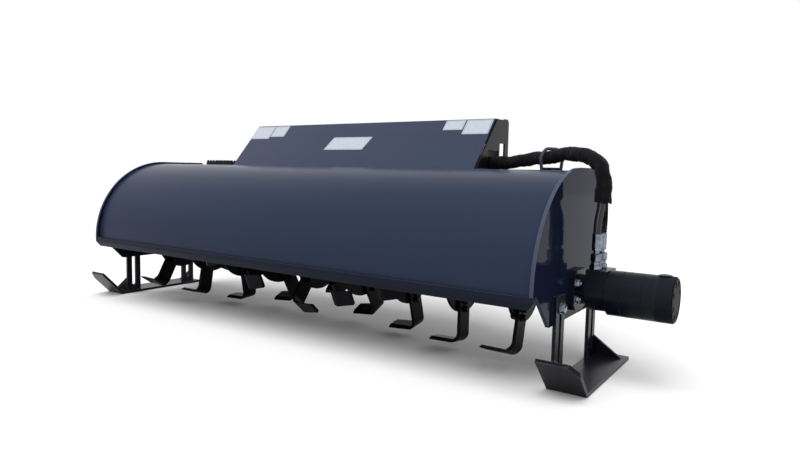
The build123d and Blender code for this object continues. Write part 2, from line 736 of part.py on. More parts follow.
def grip_step():
    """Serrated foothold beside the cover."""
    x_high = hitch_low_x - step_side_gap
    x_low = x_high - step_length
    outline = [(x_high, 0), (x_low, 0)]
    pitch = step_length / step_teeth
    for k in range(step_teeth):
        left = x_low + k * pitch
        outline += [(left, step_base), (left + pitch * 0.3, step_base + step_tooth_height),
                    (left + pitch * 0.7, step_base + step_tooth_height)]
    outline += [(x_high, step_base)]
    face = make_face(Polyline(*[(x, 0, hood_top + z) for x, z in outline], close=True))
    return Pos(0, step_y + step_width / 2, 0) * extrude(face, step_width, dir=(0, -1, 0))


node("grip_step", grip_step())


# ---------------------------------------------------------------- write out
os.makedirs("parts", exist_ok=True)
to_footprint = Pos(-footprint_centre[0], -footprint_centre[1], 0)
for name, solids in nodes.items():
    moved = [to_footprint * solid for solid in solids]
    export_step(moved[0] if len(moved) == 1 else Compound(children=moved), f"parts/{name}.step")
print("footprint centre", footprint_centre, "rotor axis height", rotor_z, "pieces", len(nodes))
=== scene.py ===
# %% [markdown]
# # A wide rotavator
# The shape of the machine comes packed from CAD, one object for each piece, and this script dresses it:
# hoses, bolts, welds, decals, paint, light and camera.  Loading the frame first gives every piece its
# true place, so nothing here has to be fitted by eye.

# %% Load the frame
import json
from math import atan2, copysign, cos, hypot, pi, radians, sin, tau

import bmesh
import bpy
from mathutils import Matrix, Vector, noise


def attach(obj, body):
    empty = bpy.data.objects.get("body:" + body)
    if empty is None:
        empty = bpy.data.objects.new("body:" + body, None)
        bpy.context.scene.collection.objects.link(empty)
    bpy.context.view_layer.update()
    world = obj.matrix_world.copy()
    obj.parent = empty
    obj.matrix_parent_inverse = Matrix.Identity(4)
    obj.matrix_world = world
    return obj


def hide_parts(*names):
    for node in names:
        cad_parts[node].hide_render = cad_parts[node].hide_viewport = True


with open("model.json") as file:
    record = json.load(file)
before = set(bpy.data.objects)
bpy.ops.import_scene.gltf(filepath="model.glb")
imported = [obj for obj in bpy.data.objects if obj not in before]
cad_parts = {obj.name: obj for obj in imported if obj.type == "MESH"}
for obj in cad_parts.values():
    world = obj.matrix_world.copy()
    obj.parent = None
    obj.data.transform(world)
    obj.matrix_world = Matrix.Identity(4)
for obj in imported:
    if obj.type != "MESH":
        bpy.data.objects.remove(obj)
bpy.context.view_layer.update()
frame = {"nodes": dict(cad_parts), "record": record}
print("pieces loaded:", len(frame["nodes"]))

# %% [markdown]
# The workshop drawing counts in millimetres from the middle of the rotor axis, on the floor.  The frame
# counts in metres from the middle of the machine's footprint.  One small function turns the first into
# the second, so that sizes below can be read in the drawing's own numbers.

# %% From drawing to frame
footprint_x, footprint_y = 80.0, 8.0
rotor_z = 238.0
plate_x = 965.0
hood_top = 571.0


def at(x, y, z):
    """A point of the drawing, in millimetres, as a point of the frame, in metres."""
    return Vector(((x - footprint_x) / 1000, (y - footprint_y) / 1000, z / 1000))


# %% [markdown]
# The camera stands to the right of the machine's working front, as high as its hood, and looks slightly
# down.  A camera in Blender looks along its own -Z.  Read from the right, the turns below roll it a little
# about that line, tip it up to the horizon but for its pitch, and turn it about the upright by its yaw.

# %% Camera
camera_data = bpy.data.cameras.new("camera")
camera_data.sensor_width = 36.0
camera_data.lens = 27.77
camera = bpy.data.objects.new("camera", camera_data)
bpy.context.scene.collection.objects.link(camera)
stand = at(1525.5, -1714.6, 559.0)
yaw, pitch, roll = 0.5976, 0.0870, 0.0202
aim = (Matrix.Rotation(yaw, 4, "Z") @ Matrix.Rotation(pi / 2 - pitch, 4, "X")
       @ Matrix.Rotation(roll, 4, "Z"))
camera.matrix_world = Matrix.Translation(stand) @ aim
bpy.context.scene.camera = camera
print("camera at", [round(v, 3) for v in camera.matrix_world.translation])

# %% [markdown]
# ## Small tools
# Blender's operators act on whatever is selected, and the loaded frame comes selected.  Each tool below
# therefore starts by clearing the selection.  Faces, edges and points are then picked in code, by a test of
# where they lie or which way they face, which is what a hand with a mouse would do.

# %% Select and shape


def clear():
    """Leave edit mode and select nothing."""
    if bpy.context.mode != "OBJECT":
        bpy.ops.object.mode_set(mode="OBJECT")
    bpy.ops.object.select_all(action="DESELECT")


def only(*things):
    """Select these objects alone, the first of them active."""
    clear()
    for thing in things:
        thing.select_set(True)
    bpy.context.view_layer.objects.active = things[0]


def edit(thing, kind, test):
    """Open a mesh in edit mode with only its faces, edges or points that pass a test selected."""
    only(thing)
    bpy.ops.object.mode_set(mode="EDIT")
    bpy.ops.mesh.select_mode(type=kind)
    bpy.ops.mesh.select_all(action="DESELECT")
    mesh = bmesh.from_edit_mesh(thing.data)
    items = {"FACE": mesh.faces, "EDGE": mesh.edges, "VERT": mesh.verts}[kind]
    for item in items:
        if test(item):
            item.select_set(True)
    mesh.select_flush_mode()
    bmesh.update_edit_mesh(thing.data)


def middle(item):
    """The middle of a face, an edge or a point."""
    return item.co if hasattr(item, "co") else sum((v.co for v in item.verts), Vector()) / len(item.verts)


def faces_up(face):
    return face.normal.z > 0.9


# %% [markdown]
# A finished piece keeps its place in its mesh, with its object at the origin, as the loaded ones do.  It
# then gets its finish and the body that it rides on.
# The finishes themselves are mixed further down, so a piece only notes the name of its own here.

# %% Finish a piece
wanted_finish = {}


def done(thing, name, body, slot, finish, smooth=35):
    """Name, smooth and register a finished piece."""
    only(thing)
    bpy.ops.object.transform_apply(location=True, rotation=True, scale=True)
    if smooth:
        bpy.ops.object.shade_smooth_by_angle(angle=radians(smooth))
    thing.name = name
    thing.data.name = name
    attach(thing, body)
    wanted_finish[name] = finish
    print(name, "faces", len(thing.data.polygons))
    return thing


def facing(point, direction, spin=0.0):
    """The matrix that stands an upright template on a point of the drawing, its +Z along a direction."""
    tilt = Vector(direction).to_track_quat("Z", "Y").to_matrix().to_4x4()
    return Matrix.Translation(at(*point)) @ tilt @ Matrix.Rotation(spin, 4, "Z")


def repeat(template, places):
    """Copy a template to every place, each copy with its own mesh, and join the copies."""
    made = []
    for place in places:
        copy = template.copy()
        copy.data = template.data.copy()
        copy.data.transform(place)
        bpy.context.scene.collection.objects.link(copy)
        made.append(copy)
    only(*made)
    if len(made) > 1:
        bpy.ops.object.join()
    bpy.data.objects.remove(template)
    return made[0]


# %% [markdown]
# ## Hoses
# Two half-inch pressure hoses rise from the motor's ports, bend towards each other and go into one woven
# sleeve.  Each starts as a NURBS line drawn by a few given points: such a line bends only as much as it
# must, which is how a stiff hose lies.  The order of the line is set after its points, because before them
# Blender would fall back to straight runs.

# %% Draw the line of a hose


def smooth_line(places):
    """Points along a smooth line that given points of the drawing pull into shape."""
    data = bpy.data.curves.new("line", "CURVE")
    data.dimensions = "3D"
    data.resolution_u = 24
    spline = data.splines.new("NURBS")
    spline.points.add(len(places) - 1)
    for point, place in zip(spline.points, places):
        point.co = (*at(*place), 1.0)
    spline.order_u = 3
    spline.use_endpoint_u = True
    line = bpy.data.objects.new("line", data)
    bpy.context.scene.collection.objects.link(line)
    mesh = bpy.data.meshes.new_from_object(line)
    points = [vertex.co.copy() for vertex in mesh.vertices]
    bpy.data.meshes.remove(mesh)
    bpy.data.objects.remove(line)
    return points


def length_of(points):
    return sum((b - a).length for a, b in zip(points, points[1:]))


# %% [markdown]
# The hose's surface is a tube of rings set square across that line.  Writing the rings in code gives two
# things that a curve's own bevel can't: a radius that changes from place to place, for the sleeve's
# wrinkles, and a UV map that counts real centimetres along and around, for its weave.  Each ring is carried
# on from the last one without twisting, so the weave runs straight.

# %% Rings along a line


def walk(points, count):
    """Cut a line into equal steps: the distance, the point and the run it is on, for each step's end."""
    marks = [0.0]
    for a, b in zip(points, points[1:]):
        marks.append(marks[-1] + (b - a).length)
    places = []
    step = 0
    for k in range(count + 1):
        s = marks[-1] * k / count
        while step < len(points) - 2 and marks[step + 1] < s:
            step += 1
        run = points[step + 1] - points[step]
        share = (s - marks[step]) / max(run.length, 1e-9)
        places.append((s, points[step] + run * min(share, 1.0), run))
    return places


def rings_along(points, spacing):
    """Places at even steps of a line: distance, point, direction, and two directions across it."""
    places = walk(points, max(2, round(length_of(points) / spacing)))
    rings = []
    across = None
    for k, (s, point, _) in enumerate(places):
        before = places[max(k - 1, 0)][1]
        after = places[min(k + 1, len(places) - 1)][1]
        along = (after - before).normalized()
        if across is None:
            across = Vector((1, 0, 0)) if abs(along.x) < 0.8 else Vector((0, 1, 0))
        across = (across - along * across.dot(along)).normalized()
        rings.append((s, point, along, across, along.cross(across)))
    return rings


# %% A tube over the rings


def from_bmesh(mesh, name):
    """Turn a mesh that was written in code into an object."""
    data = bpy.data.meshes.new(name)
    bmesh.ops.recalc_face_normals(mesh, faces=mesh.faces[:])
    mesh.to_mesh(data)
    mesh.free()
    thing = bpy.data.objects.new(name, data)
    bpy.context.scene.collection.objects.link(thing)
    return thing


def skin(mesh, rows):
    """Join rows of points into a closed tube and close its ends; gives the side faces in their order."""
    sides = len(rows[0])
    faces = []
    for here, there in zip(rows, rows[1:]):
        for k in range(sides):
            m = (k + 1) % sides
            faces.append(mesh.faces.new((here[k], here[m], there[m], there[k])))
    mesh.faces.new(list(reversed(rows[0])))
    mesh.faces.new(rows[-1])
    return faces


def tube(rings, radius_at, sides):
    """A closed tube over the rings, with UV in centimetres; radius_at(ring's number, angle) in metres."""
    mesh = bmesh.new()
    uv = mesh.loops.layers.uv.new("UVMap")
    rows = []
    for n, (_, point, _, u, v) in enumerate(rings):
        row = []
        for k in range(sides):
            angle = tau * k / sides
            reach = radius_at(n, angle)
            row.append(mesh.verts.new(point + u * (cos(angle) * reach) + v * (sin(angle) * reach)))
        rows.append(row)
    girth = tau * radius_at(0, 0.0) * 100
    for index, face in enumerate(skin(mesh, rows)):
        n, k = divmod(index, sides)
        marks = ((k, n), (k + 1, n), (k + 1, n + 1), (k, n + 1))
        for loop, (a, b) in zip(face.loops, marks):
            loop[uv].uv = (girth * a / sides, rings[b][0] * 100)
    return from_bmesh(mesh, "tube")


# %% The two hoses on the motor
hose_radius = 10.5
port_x = 1027.16
ferrule_top = 399.0
ports = {"front": -25.0, "rear": 25.0}
sleeve_mouth = (port_x + 6, -8.0, 486.0)


def hose_along(name, points, spacing):
    """A hose's surface along its line."""
    hose = tube(rings_along(points, spacing), lambda n, angle: hose_radius / 1000, 24)
    print("length", round(length_of(points), 3))
    return done(hose, name, "frame", "hose_rubber", "hose_rubber", 60)


hoses = []
for label, y in ports.items():
    end_y = sleeve_mouth[1] + (-10.6 if y < 0 else 10.6)
    points = smooth_line([
        (port_x, y, ferrule_top),
        (port_x, y, ferrule_top + 30),
        (port_x + 3, (y + end_y) / 2, ferrule_top + 54),
        (sleeve_mouth[0], end_y, ferrule_top + 76),
        (sleeve_mouth[0], end_y, sleeve_mouth[2] + 40),
    ])
    hose = hose_along(f"hose_{label}_line", points, 0.004)
    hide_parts(f"hose_{label}")
    hoses.append((hose, points))

# %% [markdown]
# ## The woven sleeve
# The sleeve is a tube of heavy woven nylon, wider than the two hoses in it.  It has nothing to keep it
# round, so it creases where it bends, bags between the creases, and is a little ragged at its mouth.
# The wrinkles are made from smooth noise that is stretched round the tube and short along it, because real
# creases in a sleeve run across it.  They grow where the line bends and on the inside of the bend.

# %% The sleeve's line
sleeve_radius = 22.0
on_hood = hood_top + sleeve_radius + 0.3
ring_x, ring_y = 838.0, 112.0
sleeve_end = (ring_x - 780, ring_y + 70, on_hood)
sleeve_path = smooth_line([
    sleeve_mouth,
    (port_x + 8, -8, 540),
    (port_x - 2, -2, 582),
    (port_x - 38, 20, 608),
    (port_x - 88, 51, 620),
    (port_x - 142, 85, 619),
    (ring_x - 2, ring_y + 2, 609),
    (ring_x - 62, ring_y + 36, on_hood + 16),
    (ring_x - 124, ring_y + 65, on_hood + 7),
    (ring_x - 190, ring_y + 88, on_hood),
    (ring_x - 260, ring_y + 102, on_hood + 0.2),
    (ring_x - 350, ring_y + 92, on_hood),
    (ring_x - 460, ring_y + 68, on_hood + 0.2),
    (ring_x - 590, ring_y + 76, on_hood),
    (ring_x - 700, ring_y + 66, on_hood + 0.2),
    sleeve_end,
])
sleeve_length = length_of(sleeve_path)
print("sleeve length", round(sleeve_length, 3))

# %% The sleeve's cloth


def bend_at(rings, k, reach=4):
    """Which way and how hard the line bends at a ring."""
    before = rings[max(k - reach, 0)]
    after = rings[min(k + reach, len(rings) - 1)]
    return (after[2] - before[2]) / max(after[0] - before[0], 1e-6)


def crease(place, angle, seed):
    """Smooth noise for a point on the cloth, long round the tube and short along it."""
    return noise.noise(Vector((cos(angle) * 0.55 + seed, sin(angle) * 0.55 - seed, place)))


sleeve_rings = rings_along(sleeve_path, 0.003)
bends = [bend_at(sleeve_rings, k) for k in range(len(sleeve_rings))]
hard_bend = 9.0


def cloth_radius(n, angle):
    """Radius of the sleeve's outside: gathered folds, spiral bagging and a slight flare at its ends."""
    s, _, _, u, v = sleeve_rings[n]
    side = u * cos(angle) + v * sin(angle)
    inward = max(0.0, side.dot(bends[n])) / hard_bend
    hard = min(1.0, bends[n].length / hard_bend)
    fold_depth = 0.9 + 1.1 * hard + 0.9 * inward
    folds = fold_depth * (1 - 3.2 * abs(crease(s * 46, angle + s * 14, 3.1)))
    bags = 3.6 * crease(s * 21, angle - s * 8, 9.7)
    fine = 0.8 * crease(s * 150, angle, 5.3)
    flare = 1.2 * max(0.0, 1 - min(s, sleeve_length - s) / 0.02)
    around_hoses = (22.4 - 300 * max(0.0, s - 0.042)) * side.y ** 2
    return max(sleeve_radius - 1.6 + flare + folds + bags + fine, around_hoses) / 1000


sleeve = tube(sleeve_rings, cloth_radius, 40)
ragged_reach, ragged_depth = 0.045, 0.016
for vertex in sleeve.data.vertices:
    near = max(0.0, 1 - (vertex.co - sleeve_path[0]).length / ragged_reach)
    vertex.co.z += near * ragged_depth * noise.noise(vertex.co * 48)

# %% [markdown]
# The tube is closed by one large face at each end.  Each is inset by the cloth's thickness and pushed into
# the sleeve, so that the ends show a hollow.

# %% The sleeve's hollow ends
cloth_thickness, hollow_depth = 0.0016, 0.016
edit(sleeve, "FACE", lambda f: len(f.verts) > 4)
bpy.ops.mesh.inset(thickness=cloth_thickness)
bpy.ops.mesh.extrude_region_move()
bpy.ops.object.mode_set(mode="OBJECT")
for face in [f for f in sleeve.data.polygons if len(f.vertices) > 4]:
    start = (face.center - sleeve_path[0]).length < 0.05
    inwards = (sleeve_path[12] - sleeve_path[0]) if start else (sleeve_path[-12] - sleeve_path[-1])
    for index in face.vertices:
        sleeve.data.vertices[index].co += inwards.normalized() * hollow_depth
done(sleeve, "sleeve_line", "frame", "sleeve_cloth", "sleeve_cloth", 80)
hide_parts("hose_sleeve")

# %% [markdown]
# ## Loose ends and quick couplers
# Behind the cover the hoses come out of the sleeve and end in the couplers that the driver pushes into the
# loader's sockets.  They lie on the hood when the machine is parked.  These lines follow the same points
# as the drawing's.

# %% The hoses' loose ends
coupler_radius = 19.0
coupler_z = hood_top + coupler_radius + 0.3
tail_z = hood_top + hose_radius + 0.3
tail_x = sleeve_end[0] - 2.0
tails = []
for label, side, spread, end_x in (("front", -1, 42.0, -300.0), ("rear", 1, 20.0, -365.0)):
    start_y = sleeve_end[1] + side * (hose_radius + 0.3)
    end_y = sleeve_end[1] + side * spread
    reach = tail_x - end_x
    points = smooth_line([
        (tail_x + 14, start_y, sleeve_end[2]),
        (tail_x - reach * 0.16, start_y + side, sleeve_end[2] - 2),
        (tail_x - reach * 0.35, (start_y + end_y) / 2, tail_z + 0.5),
        (tail_x - reach * 0.58, end_y + side * 3, tail_z),
        (tail_x - reach * 0.78, end_y + side * 2, tail_z + 1.5),
        (tail_x - reach * 0.91, end_y, coupler_z),
        (end_x, end_y, coupler_z),
    ])
    tail = hose_along(f"hose_tail_{label}_line", points, 0.006)
    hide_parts(f"hose_tail_{label}")
    tails.append((tail, points, end_x, end_y))

# %% [markdown]
# ## Bolts
# A bolt head starts as a six-sided cylinder.  A real head is turned before it is milled, so its corners
# fall away in a shallow cone.  Insetting the top face and lifting the inner one gives that cone, and a
# small bevel on what is left catches the light.  A round washer goes under it.

# %% One bolt head, and one nut


def cylinder(radius, height, sides, base=0.0):
    """An upright cylinder with its foot at a height."""
    clear()
    bpy.ops.mesh.primitive_cylinder_add(vertices=sides, radius=radius, depth=height,
                                        location=(0, 0, base + height / 2))
    bpy.ops.object.transform_apply(location=True)
    return bpy.context.object


def hexagon(across, height, base):
    """A six-sided cylinder with a given distance between its flats."""
    return cylinder(across / 2 / cos(pi / 6), height, 6, base)


washer_thick = 0.0025


def bolt(across=0.019, height=0.008, washer_radius=0.0125):
    """A bolt head on its washer, its corners cut by a cone."""
    washer = cylinder(washer_radius, washer_thick, 24)
    head = hexagon(across, height, washer_thick)
    edit(head, "FACE", faces_up)
    bpy.ops.mesh.inset(thickness=across * 0.09)
    bpy.ops.transform.translate(value=(0, 0, across * 0.045))
    edit(head, "EDGE", lambda e: middle(e).z > washer_thick + height - 1e-5)
    bpy.ops.mesh.bevel(offset=across * 0.02, segments=1, affect="EDGES")
    only(head, washer)
    bpy.ops.object.join()
    return head


def nut(across=0.019, height=0.010, washer_radius=0.0125, thread=0.0058, past=0.004):
    """A nut on its washer, with the rounded end of the bolt standing out of it."""
    head = bolt(across, height, washer_radius)
    end = cylinder(thread, past + 0.002, 16, height + washer_thick - 0.001)
    edit(end, "FACE", faces_up)
    bpy.ops.mesh.bevel(offset=thread * 0.3, segments=2, affect="EDGES")
    only(head, end)
    bpy.ops.object.join()
    return head


# %% [markdown]
# The motor is held by four studs through its flange, the bearing on the other side by four bolts, and each
# leg of the skid shoes by one bolt through its slot.  The turns given to the heads differ, because nobody
# tightens bolts until their flats line up.

# %% Bolts on the end plates


def round_axis(x, up, twist):
    """Four places about the rotor's axis, facing outwards, each turned a little further."""
    corners = [(y, z) for y in (-46, 46) for z in (up, -up)]
    return [facing((x, y, rotor_z + z), (copysign(1, x), 0, 0), twist * n)
            for n, (y, z) in enumerate(corners)]


leg_ys, leg_bolt_z = (-140, 140), 206.0
legs = [(side, n, y) for side in (-1, 1) for n, y in enumerate(leg_ys)]
leg_bolts = [facing((side * (plate_x + 10), y, leg_bolt_z), (side, 0, 0), 0.35 * side * n)
             for side, n, y in legs]
leg_nuts = [facing((side * (plate_x - 10), y, leg_bolt_z), (-side, 0, 0), 0.2 * n)
            for side, n, y in legs]
zinc = ("frame", "zinc_plate", "zinc_plate")  # body, slot and finish
done(repeat(nut(past=0.0045), round_axis(plate_x + 16, 22, 0.3)), "motor_studs", *zinc)
done(repeat(bolt(), round_axis(-plate_x - 14, 24, 0.4)), "bearing_bolts", *zinc)
done(repeat(bolt(0.024, 0.010, 0.0165), leg_bolts), "leg_bolts", *zinc)
done(repeat(nut(0.024, 0.013, 0.0165, 0.0078), leg_nuts), "leg_nuts", *zinc)

# %% [markdown]
# Each tine is held to its disc by two bolts through its leg, heads on the motor's side and nuts on the
# other.  The tines lead one another in a V along the rotor, so that only a few bite at a time, and the
# bolts follow the same angles.

# %% Tine bolts
disc_pitch = 203.2
disc_x = [(k - 4) * disc_pitch for k in range(9)]
tine_leads = (28.0, 10.0, -10.0, -29.0, -54.0, -31.0, -16.0, 1.0, 15.0)
hole_depths, hole_aside = (82.0, 106.0), 16.0
bolt_places = []
nut_places = []
for x, lead in zip(disc_x, tine_leads):
    for turn in [radians(lead + 90 * quarter) for quarter in range(4)]:
        for depth in hole_depths:
            y = -hole_aside * cos(turn) - depth * sin(turn)
            z = rotor_z + hole_aside * sin(turn) - depth * cos(turn)
            bolt_places.append(facing((x + 15, y, z), (1, 0, 0), turn))
            nut_places.append(facing((x - 5, y, z), (-1, 0, 0), -turn))
on_rotor = ("rotor", "dark_paint", "tine_black")
done(repeat(bolt(0.018, 0.0075, 0.0115), bolt_places), "tine_bolts", *on_rotor)
done(repeat(nut(0.018, 0.010, 0.0115, 0.0055, 0.004), nut_places), "tine_nuts", *on_rotor)

# %% [markdown]
# ## The foothold
# A driver steps on the hood beside the cover, and a smooth step would be slippery when muddy.  So the step
# is a low bar with a serrated rail along its front and its back.  A tooth is a cube whose top face is
# shrunk, and the rails are eighteen copies of it.

# %% The foothold's serrated rails
step_low, step_high, step_front, step_back = -745.0, -580.0, 80.0, 140.0
teeth = 9
pitch = (step_high - step_low) / teeth
tooth_height, rail_width = 14.5, 5.0
bar_height = 6.0


def box(wide, deep, tall, place):
    """A box of a size in millimetres about a point of the frame."""
    clear()
    bpy.ops.mesh.primitive_cube_add(size=1, location=place)
    thing = bpy.context.object
    thing.scale = (wide / 1000, deep / 1000, tall / 1000)
    bpy.ops.object.transform_apply(location=True, scale=True)
    return thing


tooth = box(pitch * 0.99, rail_width, tooth_height, (0, 0, tooth_height / 2000))
edit(tooth, "FACE", faces_up)
bpy.ops.transform.resize(value=(0.4, 1, 1), center_override=(0, 0, tooth_height / 1000))
clear()
seats = [facing((step_low + (k + 0.5) * pitch, y, hood_top + bar_height - 0.5), (0, 0, 1))
         for k in range(teeth) for y in (step_front + rail_width / 2, step_back - rail_width / 2)]
rails = repeat(tooth, seats)
bar = box(step_high - step_low, step_back - step_front, bar_height,
          at((step_low + step_high) / 2, (step_front + step_back) / 2, hood_top + bar_height / 2))
only(bar, rails)
bpy.ops.object.join()
foothold = done(bpy.context.object, "foothold", "frame", "dark_paint", "satin_black", 0)
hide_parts("grip_step")

# %% [markdown]
# ## The motor
# The motor's cover is held by eight cap screws sunk in pockets, and their round heads are short cylinders.
# On top of the motor a round plug closes a port that isn't used.  Its face is inset and dished, and its
# rim is bevelled.

# %% Cap screws
cap_x = 1233.0
screw_circle = 46.0
screw = cylinder(0.0072, 0.0052, 24)
screws = [facing((cap_x - 7, screw_circle * cos(a), rotor_z + screw_circle * sin(a)), (1, 0, 0), a)
          for a in [tau * (k + 0.5) / 8 for k in range(8)]]
done(repeat(screw, screws), "cap_screws", "frame", "dark_paint", "screw_black")

# %% The face of the motor's plug
plug_x, plug_top = cap_x - 30, rotor_z + 63
plug_radius = 0.0145
plug = cylinder(plug_radius, 0.0016, 48)
edit(plug, "FACE", faces_up)
bpy.ops.mesh.inset(thickness=0.0022)
bpy.ops.transform.translate(value=(0, 0, -0.0007))
bpy.ops.mesh.inset(thickness=0.0066)
bpy.ops.mesh.extrude_region_move(TRANSFORM_OT_translate={"value": (0, 0, -0.0006)})
edit(plug, "EDGE", lambda e: abs(middle(e).xy.length - plug_radius) < 4e-4 and middle(e).z > 0.0012)
bpy.ops.mesh.bevel(offset=0.0004, segments=2, affect="EDGES")
clear()
plug.data.transform(facing((plug_x, 0, plug_top), (0, 0, 1)))
done(plug, "plug_face", "frame", "dark_paint", "motor_black")

# %% [markdown]
# ## Hose fittings
# A hose is clamped in a ferrule by eight jaws, which leave eight long flats with soft ridges between them
# and a plain collar at each end.  The ferrule is a cylinder whose sides are cut into five bands.  The
# middle band's points are pulled in between the ridges, and the collars keep their size.

# %% Crimped ferrules
ferrule_length, ferrule_radius = 46.0, 12.5


def ferrule(length=ferrule_length / 1000, radius=ferrule_radius / 1000):
    """A crimped ferrule standing on its end."""
    thing = cylinder(radius, length, 48)
    for share in (0.10, 0.16, 0.84, 0.90):
        edit(thing, "FACE", lambda f: True)
        bpy.ops.mesh.bisect(plane_co=(0, 0, length * share), plane_no=(0, 0, 1))
    edit(thing, "VERT", lambda v: 0.15 * length < v.co.z < 0.85 * length
         and cos(8 * atan2(v.co.y, v.co.x)) < 0.3)
    bpy.ops.transform.resize(value=(0.915, 0.915, 1), center_override=(0, 0, length / 2))
    edit(thing, "EDGE", lambda e: middle(e).xy.length > radius * 0.97
         and not 1e-5 <= middle(e).z <= length - 1e-5)
    bpy.ops.mesh.bevel(offset=0.0009, segments=3, affect="EDGES")
    clear()
    return thing


neck_top = ferrule_top - ferrule_length
crimped = repeat(ferrule(), [facing((port_x, y, neck_top), (0, 0, 1)) for y in ports.values()])
done(crimped, "crimped_ferrules", *zinc, 25)
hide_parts("hose_ferrules")

tail_ends = []
for n, (_, _, end_x, end_y) in enumerate(tails):
    one = repeat(ferrule(), [facing((end_x - ferrule_length, end_y, coupler_z), (1, 0, 0), n)])
    done(one, f"tail_ferrule_{n + 1}", *zinc, 25)
    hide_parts("coupler_ferrules")
    tail_ends.append([one])

# %% [markdown]
# Between the motor and each ferrule sits a swivel nut on an adapter, and the adapter has a hexagon of its
# own, low on the block, where a second spanner holds it while the nut is turned.  Both are hexagons whose
# two rims are cut by the same shallow cone.

# %% Swivel nuts and adapters


def spanner_nut(across, height):
    """A hexagon with the corners of both its faces cut away."""
    body = hexagon(across, height * 0.84, height * 0.08)
    edit(body, "FACE", lambda f: abs(f.normal.z) > 0.9)
    bpy.ops.mesh.inset(thickness=across * 0.08)
    for way in (1, -1):
        edit(body, "FACE", lambda f: f.normal.z * way > 0.9 and middle(f).xy.length < 1e-4)
        bpy.ops.transform.translate(value=(0, 0, way * height * 0.08))
    edit(body, "EDGE", lambda e: abs(e.verts[0].co.z - e.verts[1].co.z) > height * 0.5)
    bpy.ops.mesh.bevel(offset=0.0006, segments=2, affect="EDGES")
    clear()
    return body


def over_ports(z, first, step):
    """A place over each port at a height, each turned further than the last."""
    return [facing((port_x, y, z), (0, 0, 1), first + n * step) for n, y in enumerate(ports.values())]


nuts = repeat(spanner_nut(0.028, 0.022), over_ports(323.0, 0.26, 0.4))
done(nuts, "swivel_nuts", *zinc, 30)
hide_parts("hose_nuts")

hexes = repeat(spanner_nut(0.0305, 0.0125), over_ports(301.6, 0.1, 0.5))
done(hexes, "adapter_hexes", *zinc, 30)

# %% [markdown]
# A quick coupler is a turned part: a thin nose, a wide collar with a shallow groove round it, which slides
# back to let go, and a narrower body on the hose's side.  Its shape is a line of points spun round the
# coupler's axis.

# %% Quick couplers


def turned(outline, steps=48):
    """Spin a line of (radius, height) points, in millimetres, into a closed round part."""
    clear()
    bpy.ops.mesh.primitive_plane_add(size=0.01)
    part = bpy.context.object
    bpy.ops.object.mode_set(mode="EDIT")
    bpy.ops.mesh.delete(type="VERT")
    mesh = bmesh.from_edit_mesh(part.data)
    chain = [mesh.verts.new((r / 1000, 0, z / 1000)) for r, z in outline]
    for a, b in zip(chain, chain[1:]):
        mesh.edges.new((a, b))
    bmesh.update_edit_mesh(part.data)
    bpy.ops.mesh.select_all(action="SELECT")
    bpy.ops.mesh.spin(steps=steps, angle=tau, center=(0, 0, 0), axis=(0, 0, 1))
    bpy.ops.mesh.select_all(action="SELECT")
    bpy.ops.mesh.remove_doubles(threshold=1e-6)
    bpy.ops.mesh.normals_make_consistent(inside=False)
    clear()
    return part


coupler_line = [
    (0, 72), (9.5, 72), (10.5, 71), (10.5, 62), (13, 60.5), (18.2, 60.5), (19, 59.6), (19, 54),
    (18.3, 53.2), (18.3, 40), (19, 39.2), (19, 33), (18.2, 32.2), (16, 32), (16, 22), (15, 21),
    (15, 2), (14, 0.5), (0, 0.5),
]
for n, (_, _, end_x, end_y) in enumerate(tails):
    one = repeat(turned(coupler_line), [facing((end_x - ferrule_length, end_y, coupler_z), (-1, 0, 0))])
    done(one, f"quick_coupler_{n + 1}", *zinc, 30)
    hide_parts("hose_couplers")
    tail_ends[n].append(one)

# %% [markdown]

# %% [markdown]
# The rear hose has a coil of spring steel wire over it between ferrule and sleeve, which keeps it from
# kinking where the load is greatest.  The wire's centre line is a helix round the hose's own line, wound
# from finer rings along it.

# %% Spring guard
coil_pitch, coil_radius, wire_radius = 0.0042, 0.0117, 0.0011
guard_points = []
rear_path = hoses[1][1]
guard_low, guard_high = 0.003, length_of(rear_path) - 0.012
for s, point, along, u, v in rings_along(rear_path, 0.00025):
    if guard_low < s < guard_high:
        angle = tau * s / coil_pitch
        guard_points.append(point + (u * cos(angle) + v * sin(angle)) * coil_radius)
guard = tube(rings_along(guard_points, 0.0016), lambda n, angle: wire_radius, 6)
done(guard, "hose_guard", "frame", "dark_paint", "screw_black", 60)

# %% [markdown]
# ## Welds
# The plates are welded with a wire feeder, which leaves a bead like a row of fallen coins.  A bead is a
# half-round strip along a seam whose width and height swell with each pulse, and it is sunk a little into
# both plates, so it grows out of them.  One function lays a bead along any row of points.

# %% Lay a weld bead


def bead(mesh, points, up, size, pitch, seed):
    """Add a bead along drawing points; up is the direction that it bulges in."""
    line = [at(*p) for p in points]
    up = Vector(up).normalized()
    total = length_of(line)
    rows = []
    for s, point, run in walk(line, max(4, round(total / (pitch / 1000 / 3)))):
        side = run.normalized().cross(up).normalized()
        wander = noise.noise(Vector((s * 60, seed, 0))) * 0.25
        swell = 1 + 0.16 * sin(tau * s / (pitch / 1000)) + wander
        taper = min(1.0, (min(s, total - s) * 1000 + 0.4) / (size * 0.8))
        reach = size / 1000 * swell * taper
        row = [mesh.verts.new(point + side * (reach * cos(a)) + up * (reach * 0.72 * sin(a) - 0.0002))
               for a in [pi * n / 5 for n in range(6)]]
        rows.append(row)
    skin(mesh, rows)


def weld_piece(name, beads, body, slot, finish):
    """Many beads as one piece; each has its points, its upward direction, its size and its pitch."""
    mesh = bmesh.new()
    for n, one in enumerate(beads):
        bead(mesh, *one, seed=n * 7.3)
    return done(from_bmesh(mesh, name), name, body, slot, finish, 60)


